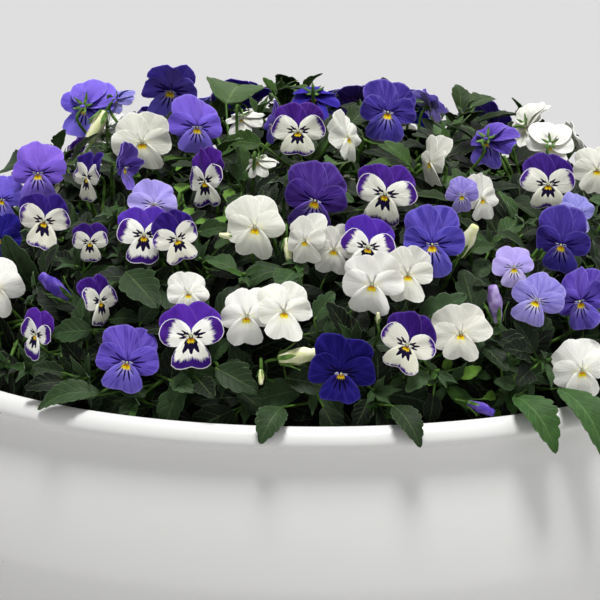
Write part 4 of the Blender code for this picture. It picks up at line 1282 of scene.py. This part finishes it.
def bud_pattern(finish, tissues):
    """A furled bud one unit long that points up +Z, in its sepals."""
    bpy.ops.mesh.primitive_uv_sphere_add(segments=10, ring_count=10, radius=0.5, location=(0, 0, 0.5))
    piece = bpy.context.object
    with editing(piece):
        for ring in range(1, 10):
            height = 0.5 - 0.5 * math.cos(math.pi * ring / 10)
            girth = 0.40 * math.sin(math.pi * min(0.12 + 0.75 * height, 1.0)) ** 0.8
            round_now = max(math.sin(math.pi * ring / 10), 0.01)
            pick(piece, lambda vertex: abs(vertex.co.z + 0.5 - height) < 0.01)
            scale(girth / round_now, girth / round_now, 1)
            turn(0.28 * ring, "Z")
        pick(piece, lambda vertex: vertex.index % 2 == 0 and 0.1 < vertex.co.z + 0.5 < 0.9)
        scale(0.82, 0.82, 1)
        pick(piece, lambda vertex: vertex.co.z < -0.49)
        move(0, 0, 0.03)
    pieces = [smooth(piece, finish)]
    for angle in (0, 72, 144, 216, 288):
        blade = small_blade(tissues["sepal"], 0.50, 0.15, 0.0, 0)
        with editing(blade):
            pick_all()
            turn(math.radians(78), "X")
            move(0, 0.14, 0.02)
            turn(math.radians(angle), "Z")
        pieces.append(blade)
    pieces.append(knob(tissues["sepal"], (0, 0, 0.02), (0.12, 0.12, 0.06)))
    return joined(pieces, "bud_pattern")


def leaf_pattern(finish, draw, rows, columns, teeth_depth):
    """A leaf one unit long and broad that points to +Y: rounded teeth, a sunk midrib and raised panels."""
    bpy.ops.mesh.primitive_grid_add(x_subdivisions=columns, y_subdivisions=rows, size=1, location=(0, 0.5, 0))
    piece = bpy.context.object
    across = columns + 1
    with editing(piece):
        for row in range(rows + 1):
            share = row / rows
            half = math.sin(math.pi * share**0.8) ** 0.8 if 0 < row < rows else 0.03
            pick(piece, lambda vertex: vertex.index // across == row)
            scale(half, 1, 1)
            for edge in (0, columns):
                pick(piece, lambda vertex: vertex.index // across == row and vertex.index % across == edge)
                out = (-1 if edge == 0 else 1) * teeth_depth * (1 + draw.uniform(-0.2, 0.2))
                if 1 < row < rows:
                    bulge, ahead = ((-0.60, 0.0), (0.45, 0.15), (0.50, 0.50))[row % 3]
                    move(out * bulge * half * 0.5, ahead / rows, 0)
        for column in range(across):
            side = abs(2 * column / columns - 1)
            pick(piece, lambda vertex: vertex.index % across == column)
            move(0, 0, (-0.014, 0.010, 0.0)[round(side * 2)])
    return solid_sheet(piece, LEAF_SHEET, finish)


def copied(pattern, shaped, tone):
    """A copy of a pattern with its own mesh, with its points moved by shaped and its own tone."""
    piece = pattern.copy()
    piece.data = pattern.data.copy()
    bpy.context.scene.collection.objects.link(piece)
    points = np.empty(3 * len(piece.data.vertices))
    piece.data.vertices.foreach_get("co", points)
    points = shaped(points.reshape(-1, 3))
    piece.data.vertices.foreach_set("co", points.reshape(-1))
    toned(piece, tone)
    piece.data.update()
    return piece


def grown_bloom(pattern, bloom, draw):
    """A bloom in its place, with its own folds, ruffle, twist and tone. One that nods away from the light
    half closes like a bell."""
    phases = [draw.uniform(0, 2 * math.pi) for _ in range(6)]
    axes = np.array(bloom["axes"])
    face = bloom["axes"].col[2]
    faces_out = face.dot(outward(bloom["place"]))
    nods = faces_out < -0.1
    turned_away = face.y > 0.1 and faces_out < 0.65
    if turned_away and face.z > -0.2:
        hang = Vector(face).cross(Vector((0, 0, -1))).normalized()
        axes = np.array(Matrix.Rotation(AWAY_HANG, 3, hang) @ Matrix(bloom["axes"]))
    cup = draw.uniform(0.7, 1.0) if nods else draw.uniform(-0.25, 0.15)
    back, jut, sag = draw.uniform(-0.1, 0.55), draw.uniform(-0.05, 0.25), draw.uniform(-0.1, 0.5)
    if turned_away:
        back -= AWAY_ARCH
    flare = {-1: draw.uniform(-0.35, 0.45), 1: draw.uniform(-0.35, 0.45)}
    ruffle, twist = draw.uniform(0.018, 0.046), draw.uniform(-0.28, 0.28)

    def shaped(points):
        x, y, z = points.T
        far = np.hypot(x, y)
        angle = np.arctan2(y, x)
        wave = 0.9 * np.sin(3 * angle + phases[0]) + 0.6 * np.sin(7 * angle + phases[1])
        wave += 0.5 * np.sin(12 * angle + phases[2] + 9 * far)
        z = z + ruffle * wave * (far / 0.5) ** 2 + cup * far**2 + twist * x * y
        z = z - back * np.maximum(y, 0) ** 2 + jut * np.maximum(-y, 0) - sag * np.maximum(-y, 0) ** 2
        sideways = np.abs(x) ** 2 * np.exp(-((y / 0.3) ** 2))
        z = z + sideways * np.where(x < 0, flare[-1], flare[1])
        drawn_in = 1 - (0.35 * cup * far if nods else 0)
        swell = 1 + 0.035 * np.sin(2 * angle + phases[3]) + 0.025 * np.sin(5 * angle + phases[4])
        moved = np.stack([x * swell * drawn_in, y * swell * drawn_in, z], 1) * bloom["width"]
        return moved @ axes.T + np.array(bloom["place"])

    return copied(pattern, shaped, draw.random())


def grown_bud(pattern, bud, draw):
    axes = np.array(bud["axes"])

    def shaped(points):
        return (points * bud["width"]) @ axes.T + np.array(bud["place"])

    return copied(pattern, shaped, draw.random())


def grown_leaf(pattern, leaf, draw, tone):
    """A leaf in its place, with its own fold, droop and twist."""
    along, side, face = (np.array(v) for v in blade_axes(leaf))
    length = float(np.linalg.norm(along))
    twist, wave, phase = draw.uniform(-0.25, 0.25), draw.uniform(0.0, 0.02), draw.uniform(0, 6.3)

    def shaped(points):
        x, y, z = points.T
        across = x * leaf["breadth"]
        lift = leaf["droop"] * length * (y - y * y) * 4
        lift = lift + 0.28 * 2 * across**2 / leaf["breadth"]
        lift = lift + across * twist * y + wave * length * np.sin(9 * y + phase) * np.abs(x) * 2
        moved = np.outer(y, along) + np.outer(across, side) + np.outer(lift + z * length, face)
        return moved + np.array(leaf["base"])

    return copied(pattern, shaped, tone)


def smooth_path(points, steps):
    """A smooth run of points through the given ones."""
    ends = [points[0] * 2 - points[1]] + list(points) + [points[-1] * 2 - points[-2]]
    run = []
    for a, b, c, d in zip(ends, ends[1:], ends[2:], ends[3:]):
        for k in range(steps):
            t = k / steps
            run.append(0.5 * ((2 * b) + (c - a) * t + (2 * a - 5 * b + 4 * c - d) * t * t
                              + (3 * b - a - 3 * c + d) * t**3))
    return run + [points[-1]]


def stems(runs, finish, name):
    """Round green stems along smooth runs, each with the radii of its two ends."""
    curve = bpy.data.curves.new(name, "CURVE")
    curve.dimensions = "3D"
    curve.bevel_depth = 0.001
    curve.bevel_resolution = 1
    curve.use_fill_caps = True
    for points, first, last in runs:
        line = curve.splines.new("POLY")
        line.points.add(len(points) - 1)
        for k, place in enumerate(points):
            line.points[k].co = (*place, 1)
            line.points[k].radius = 1000 * (first + (last - first) * k / (len(points) - 1))
    piece = bpy.data.objects.new(name, curve)
    bpy.context.scene.collection.objects.link(piece)
    choose(piece)
    bpy.ops.object.convert(target="MESH")
    piece = bpy.context.object
    piece.data.materials.clear()
    smooth(piece, finish)
    with editing(piece):
        pick_all()
        bpy.ops.mesh.remove_doubles(threshold=0.00001)
        face_out()
    return toned(piece, 0.5)


def branch_sites(draw):
    """Places in layers under the mound's surface where leafy branches end."""
    sites = []
    for low, high, shallow, deep, apart, near_by in LEAF_LAYERS:
        layer = []
        for _ in range(FILL_DRAWS):
            rise = draw.uniform(low, high)
            spot = mound_point(rise, draw.uniform(0, 2 * math.pi))
            spot -= outward(spot) * draw.uniform(shallow, deep)
            if spot.z > RIM_HEIGHT - 0.006 and all((spot - other).length > apart for other in layer):
                layer.append(spot)
        sites += [(spot, near_by) for spot in layer]
    return sites


def hides_bloom(points, blooms):
    """True if one of the points lies over a bloom's face, or shows in front of one in the view."""
    for point in points:
        for bloom in blooms:
            off = point - bloom["place"]
            if off.length < 2.2 * bloom["width"]:
                ahead = off.dot(bloom["axes"].col[2])
                aside = math.sqrt(max(off.length_squared - ahead * ahead, 0.0))
                near = 0.60 if abs(ahead) < 0.25 * bloom["width"] else 0.46
                if ahead > -0.25 * bloom["width"] and aside < near * bloom["width"]:
                    return True
            if off.y < 0.004 and off.length < 0.09:
                apart = bloom["shows_at"] - Vector(pixel_of(point))
                if apart.length < 0.46 * bloom["shows_wide"]:
                    return True
    return False


def stipules_at(spot, out, side, draw, blooms):
    """The narrow leaflets that stand round the end of a branch, where they leave the blooms free."""
    made = []
    start = draw.uniform(0, 2 * math.pi)
    for number in range(STIPULES):
        turned_by = start + 2 * math.pi * (number + draw.uniform(-0.3, 0.3)) / STIPULES
        flat = side * math.cos(turned_by) + out.cross(side) * math.sin(turned_by)
        way = (flat * draw.uniform(0.5, 1.0) + out * draw.uniform(0.4, 1.0)).normalized()
        length = draw.uniform(*STIPULE_LENGTHS)
        base = spot - out * 0.003
        tip = base + way * length
        if within_mound(tip) and not hides_bloom([base.lerp(tip, 0.5), tip], blooms):
            made.append(dict(base=base, tip=tip, face=out + flat * 0.4, breadth=length * STIPULE_BREADTH,
                             droop=draw.uniform(0.0, 0.15), foot=base, tone=draw.uniform(0.5, 0.93)))
    return made


def fill_leaves(shoots):
    """Leafy side branches on every shoot, each with a tuft of leaves that keeps clear of the blooms."""
    draw = random.Random(FILL_SEED)
    stipule_draw = random.Random(FILL_SEED + 1)
    room = Room()
    blooms = []
    for shoot in shoots:
        shoot["branches"], shoot["more_leaves"], shoot["inner_leaves"], shoot["stipules"] = [], [], [], []
        for _, bloom in shoot["stalks"]:
            room.take((bud_envelope if "closed" in bloom else bloom_envelope)(bloom), 0)
            if "closed" not in bloom:
                bloom["shows_at"] = Vector(pixel_of(bloom["place"]))
                bloom["shows_wide"] = bloom["width"] / real_length(1, bloom["place"])
                blooms.append(bloom)
        for leaf in shoot["leaves"]:
            room.take(leaf_envelope(leaf), 1)
    for spot, near_by in branch_sites(draw):
        shoot = min(shoots, key=lambda s: (s["stem"][3] - spot).length)
        fork = min((stem_place(shoot["stem"], k / 10) for k in range(2, 11)),
                   key=lambda p: (p - spot).length + 0.3 * p.z)
        bend = fork.lerp(spot, 0.5) + Vector((draw.gauss(0, 0.004), draw.gauss(0, 0.004), 0.008))
        out = outward(spot)
        start = draw.uniform(0, 2 * math.pi)
        side = out.cross(Vector((0.3, 0.2, 1))).normalized()
        young = near_by and draw.random() < 0.08
        grew = 0
        for number in range(FILL_LEAVES):
            for attempt in range(FILL_TRIES):
                turned_by = start + 2.4 * number + draw.gauss(0, 0.2 + 0.06 * attempt)
                flat = side * math.cos(turned_by) + out.cross(side) * math.sin(turned_by)
                way = (flat + out * draw.uniform(-0.1, 0.7) + Vector((0, 0, 0.15))).normalized()
                foot = spot - out * draw.uniform(0.0, 0.010)
                base = foot + way * draw.uniform(0.005, 0.014)
                size = LEAF_LENGTH * draw.uniform(0.60, 1.0) * (1 - 0.02 * attempt)
                size *= 0.45 if young else 1.0 if near_by else 1.25
                tip = base + (way + out * draw.uniform(-0.30, 0.12)).normalized() * size
                leaf = dict(base=base, tip=tip, face=out * 1.5 + Vector((0, 0, 0.7)) + way * 0.2,
                            breadth=LEAF_BREADTH * size * draw.uniform(0.85, 1.10),
                            droop=draw.uniform(0.03, 0.14), foot=foot)
                leaf["tone"] = draw.uniform(0.94, 1.0) if young else 0.05 + 0.75 * draw.random() ** 2
                envelope = leaf_envelope(leaf)
                if not (within_mound(tip) and inside_pot(envelope[0]) and room.clear(envelope, gap=0.0002)):
                    continue
                outline = [blade_point(leaf, u, v) for u in (0.25, 0.5, 0.75) for v in (-0.9, 0, 0.9)]
                if near_by and hides_bloom([base, tip] + outline, blooms):
                    continue
                room.take(([blade_point(leaf, u, 0) for u in (0.3, 0.6, 0.9)], [0.002] * 3), 2)
                shoot["more_leaves" if near_by else "inner_leaves"].append(leaf)
                grew += 1
                break
        if grew:
            shoot["branches"].append([fork, bend, spot])
        if grew and near_by:
            shoot["stipules"] += stipules_at(spot, out, side, stipule_draw, blooms)


def dressed_shoot(number_name, shoot, patterns, tissues, draw):
    """One viola: its stem, side branches, stalks, blooms, buds and leaves as one piece."""
    kind = shoot["kind"]
    runs = [(smooth_path(shoot["stem"], 3), STEM_RADIUS, STEM_RADIUS * 0.8)]
    runs += [(smooth_path(path, 4), STALK_RADIUS * 0.95, STALK_RADIUS * 0.85)
             for path, _ in shoot["stalks"]]
    runs += [(smooth_path(path, 4), STALK_RADIUS * 1.25, STALK_RADIUS) for path in shoot["branches"]]
    leaves = shoot["leaves"] + shoot["more_leaves"] + shoot["inner_leaves"]
    for leaf in leaves:
        along = (leaf["tip"] - leaf["base"]).normalized()
        middle = leaf["foot"].lerp(leaf["base"], 0.6) - Vector((0, 0, 0.0008))
        reach = leaf["base"] + along * 0.12 * (leaf["tip"] - leaf["base"]).length
        runs.append((smooth_path([leaf["foot"], middle, leaf["base"], reach], 1), PETIOLE_RADIUS * 0.95,
                     PETIOLE_RADIUS * 0.5))
    pieces = [stems(runs, tissues["stem"], "stems")]
    for _, bloom in shoot["stalks"]:
        if "closed" in bloom:
            pieces.append(grown_bud(patterns["bud", kind], bloom, draw))
        else:
            pieces.append(grown_bloom(draw.choice(patterns[kind]), bloom, draw))
    for leaf in shoot["leaves"]:
        over_lip = leaf["droop"] > 0.16
        pattern = draw.choice(patterns["toothed leaf" if over_lip else "leaf"])
        tone = 0.86 if over_lip and leaf["base"].x > 0.1 else draw.uniform(0.35, 0.75)
        pieces.append(grown_leaf(pattern, leaf, draw, tone))
    for leaf in shoot["more_leaves"]:
        pieces.append(grown_leaf(draw.choice(patterns["leaf"]), leaf, draw, leaf["tone"]))
    for leaf in shoot["stipules"]:
        pieces.append(grown_leaf(patterns["stipule"][0], leaf, draw, leaf["tone"]))
    # Leaves deep in the mound get 0.4 of their tone: painted shade among the other leaves.
    for leaf in shoot["inner_leaves"]:
        pieces.append(grown_leaf(patterns["inner leaf"][0], leaf, draw, 0.4 * leaf["tone"]))
    return joined(pieces, number_name + "_plant")


def turned_shape(name, profile, around, finish):
    """A body turned about Z: a disc at the start of the profile, extruded ring by ring along it."""
    first, height = profile[0]
    bpy.ops.mesh.primitive_circle_add(vertices=around, radius=first, fill_type="NGON",
                                      location=(0, 0, height))
    piece = bpy.context.object
    piece.name = name
    with editing(piece):
        pick_all()
        for (r0, z0), (r1, z1) in zip(profile, profile[1:]):
            bpy.ops.mesh.extrude_region_move(TRANSFORM_OT_translate={"value": (0, 0, z1 - z0)})
            scale(r1 / r0, r1 / r0, 1, (0, 0, z1))
        face_out()
    bpy.ops.object.transform_apply(location=True, rotation=True, scale=True)
    piece.data.materials.append(finish)
    bpy.ops.object.shade_smooth_by_angle(angle=CREASE)
    return piece


def softened(profile, rounds):
    """A profile with its corners cut again and again, so that its bends become soft. The ends stay."""
    for _ in range(rounds):
        cut = [profile[0]]
        for (r0, z0), (r1, z1) in zip(profile, profile[1:]):
            cut.append((0.75 * r0 + 0.25 * r1, 0.75 * z0 + 0.25 * z1))
            cut.append((0.25 * r0 + 0.75 * r1, 0.25 * z0 + 0.75 * z1))
        profile = cut + [profile[-1]]
    return profile


def glazed_planter(finish):
    """The planter: a full belly on a plain foot, a soft shoulder, a cove under the lip and a round lip."""
    profile = [(FOOT_RADIUS - 0.002, 0.0), (FOOT_RADIUS + 0.004, 0.003)]
    for share in (16, 36, 52, 68, 84):
        lean = math.radians(90 - share)
        profile.append((FOOT_RADIUS + (BELLY_RADIUS - FOOT_RADIUS) * math.cos(lean),
                        BELLY_HEIGHT * (1 - math.sin(lean))))
    profile += [(BELLY_RADIUS, BELLY_HEIGHT), *SHOULDER, *NECK, *LIP, *POT_INSIDE]
    return turned_shape("glazed_planter", softened(profile, 2), 144, finish)


def crumbly_compost(finish, draw):
    """The compost: a body to the wall, its surface broken into rings and heaved, with loose crumbs."""
    surface = RIM_HEIGHT - COMPOST_DROP
    profile = [(0.1830, FLOOR_THICKNESS + SEAT_GAP), (0.2385, 0.0800), (0.2688, 0.2000), (0.2608, 0.2620),
               (0.2590, 0.2680), (COMPOST_RADIUS, surface)]
    profile += [(COMPOST_RADIUS - COMPOST_RING * k, surface) for k in range(1, COMPOST_RINGS + 1)]
    piece = turned_shape("compost_body", profile, 96, finish)
    with editing(piece):
        for step in range(1, COMPOST_RINGS):
            flat = COMPOST_RADIUS - COMPOST_RING * step
            for grain, shift, least, lift in ((55, 0, 0, 0.0035), (120, 9, 0.1, -0.0022)):
                pick(piece, lambda v: v.co.z > surface - 0.001 and abs(v.co.xy.length - flat) < 0.004
                     and noise.noise(v.co * grain + Vector((shift, shift, shift))) > least)
                move(0, 0, lift)
    crumbs = [piece]
    for _ in range(COMPOST_CRUMBS):
        flat, around = 0.25 * math.sqrt(draw.random()), draw.uniform(0, 2 * math.pi)
        size = draw.uniform(0.0015, 0.004)
        bpy.ops.mesh.primitive_ico_sphere_add(
            subdivisions=1, radius=size,
            location=(flat * math.cos(around), flat * math.sin(around), surface + 0.002 + size * 0.4))
        crumb = bpy.context.object
        with editing(crumb):
            pick_all()
            bpy.ops.transform.vertex_random(offset=size * 0.5, seed=draw.randrange(1000))
            scale(1.3, 0.9, 0.6, crumb.location)
        crumb.data.materials.append(finish)
        crumbs.append(crumb)
    return joined(crumbs, "crumbly_compost")


def studio(floor_finish):
    """A plain pale floor, soft light from above, behind and all round, and the view's camera."""
    bpy.ops.mesh.primitive_plane_add(size=30, location=(0, 0, 0))
    floor = bpy.context.object
    floor.name = "studio_floor"
    floor.data.materials.append(floor_finish)
    world = bpy.data.worlds.new("studio")
    bpy.context.scene.world = world
    world.use_nodes = True
    around_it = world.node_tree.nodes["Background"]
    around_it.inputs["Color"].default_value = linear("#F0F0F2")
    tree = world.node_tree
    way = add(tree, "SeparateXYZ", add(tree, "TexCoord").outputs["Generated"])
    sky = add(tree, "Math", way.outputs["X"], WORLD_LIGHT * SIDE_GAIN, WORLD_LIGHT,
              operation="MULTIPLY_ADD")
    high = add(tree, "MapRange", way.outputs["Z"], 0.16, 0.40, **EASED)
    give(tree, around_it, Strength=add(tree, "Mix", high, HORIZON_LIGHT, sky))
    around, rise = math.radians(OVERHEAD_SIDE), math.radians(OVERHEAD_HEIGHT)
    towards = Vector((math.sin(around) * math.cos(rise), -math.cos(around) * math.cos(rise), math.sin(rise)))
    for name, light, spread, way in (
        ("overhead", OVERHEAD_LIGHT, OVERHEAD_SPREAD, towards),
        ("behind", BEHIND_LIGHT, BEHIND_SPREAD, BEHIND_WAY),
    ):
        lamp = bpy.data.objects.new(name, bpy.data.lights.new(name, "SUN"))
        lamp.data.energy = light
        lamp.data.angle = math.radians(spread)
        lamp.rotation_euler = way.to_track_quat("Z", "Y").to_euler()
        bpy.context.scene.collection.objects.link(lamp)
    camera = bpy.data.objects.new("view", bpy.data.cameras.new("view"))
    camera.data.sensor_width = SENSOR
    camera.data.lens = SENSOR * PIXELS_PER_SLOPE / FRAME
    camera.location = EYE
    camera.rotation_euler = (-AHEAD).to_track_quat("Z", "Y").to_euler()
    bpy.context.scene.collection.objects.link(camera)
    bpy.context.scene.camera = camera
    bpy.context.scene.view_settings.view_transform = "Standard"


def main():
    draw = random.Random(LOOKS_SEED)
    shoots = layout()
    fill_leaves(shoots)
    finishes = petal_finishes()
    tissues = {
        "sepal": plain_tissue("green_sepal", "#6E9044", "#42632C", 0.5, 300),
        "stem": plain_tissue("green_stem", "#587A34", "#35521F", 0.5, 150),
        "stigma": plain_tissue("pale_stigma", "#C8CC9A", "#9AA070", 0.5, 800),
        "hair": plain_tissue("white_petal_hair", "#EDEBDC", "#DAD8C4", 0.7, 500),
        "mauve hair": plain_tissue("mauve_petal_hair", "#C4BEDA", "#A9A2C6", 0.7, 500),
        "white bud": plain_tissue("cream_bud", "#F2F0CE", "#DAE0A0", 0.55, 200),
        "violet bud": plain_tissue("violet_bud", "#7C66C4", "#4C38A0", 0.55, 200),
        "lavender bud": plain_tissue("mauve_bud", "#B9A9DC", "#8A6FB0", 0.55, 200),
    }
    leaf = leaf_finish()
    patterns = {
        "leaf": [leaf_pattern(leaf, draw, 12, 4, depth) for depth in (0.09, 0.13, 0.17)],
        "toothed leaf": [leaf_pattern(leaf, draw, 21, 4, depth) for depth in (0.12, 0.14)],
        "inner leaf": [leaf_pattern(leaf, draw, 6, 2, 0.08)],
        "stipule": [leaf_pattern(leaf, draw, 4, 2, 0.30)],
    }
    for kind in BLOOM_FORMS:
        patterns[kind] = [bloom_pattern(kind, finishes, tissues, draw) for _ in range(3)]
        tissue = tissues["white bud" if kind == "white" else
                         "lavender bud" if kind == "lavender" else "violet bud"]
        patterns["bud", kind] = bud_pattern(tissue, tissues)
    counts = {}
    for shoot in shoots:
        kind = shoot["kind"]
        counts[kind] = counts.get(kind, 0) + 1
        node = f"{kind}_viola_{counts[kind]:02d}"
        plant = dressed_shoot(node, shoot, patterns, tissues, draw)
        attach(plant, "root")
        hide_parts(node)
    for pattern in [p for made in patterns.values() for p in (made if isinstance(made, list) else [made])]:
        bpy.data.objects.remove(pattern)
    pot = glazed_planter(glaze())
    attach(pot, "root")
    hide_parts("planter")
    soil = crumbly_compost(peat(), draw)
    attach(soil, "root")
    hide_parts("compost")
    studio(studio_paper())


main()
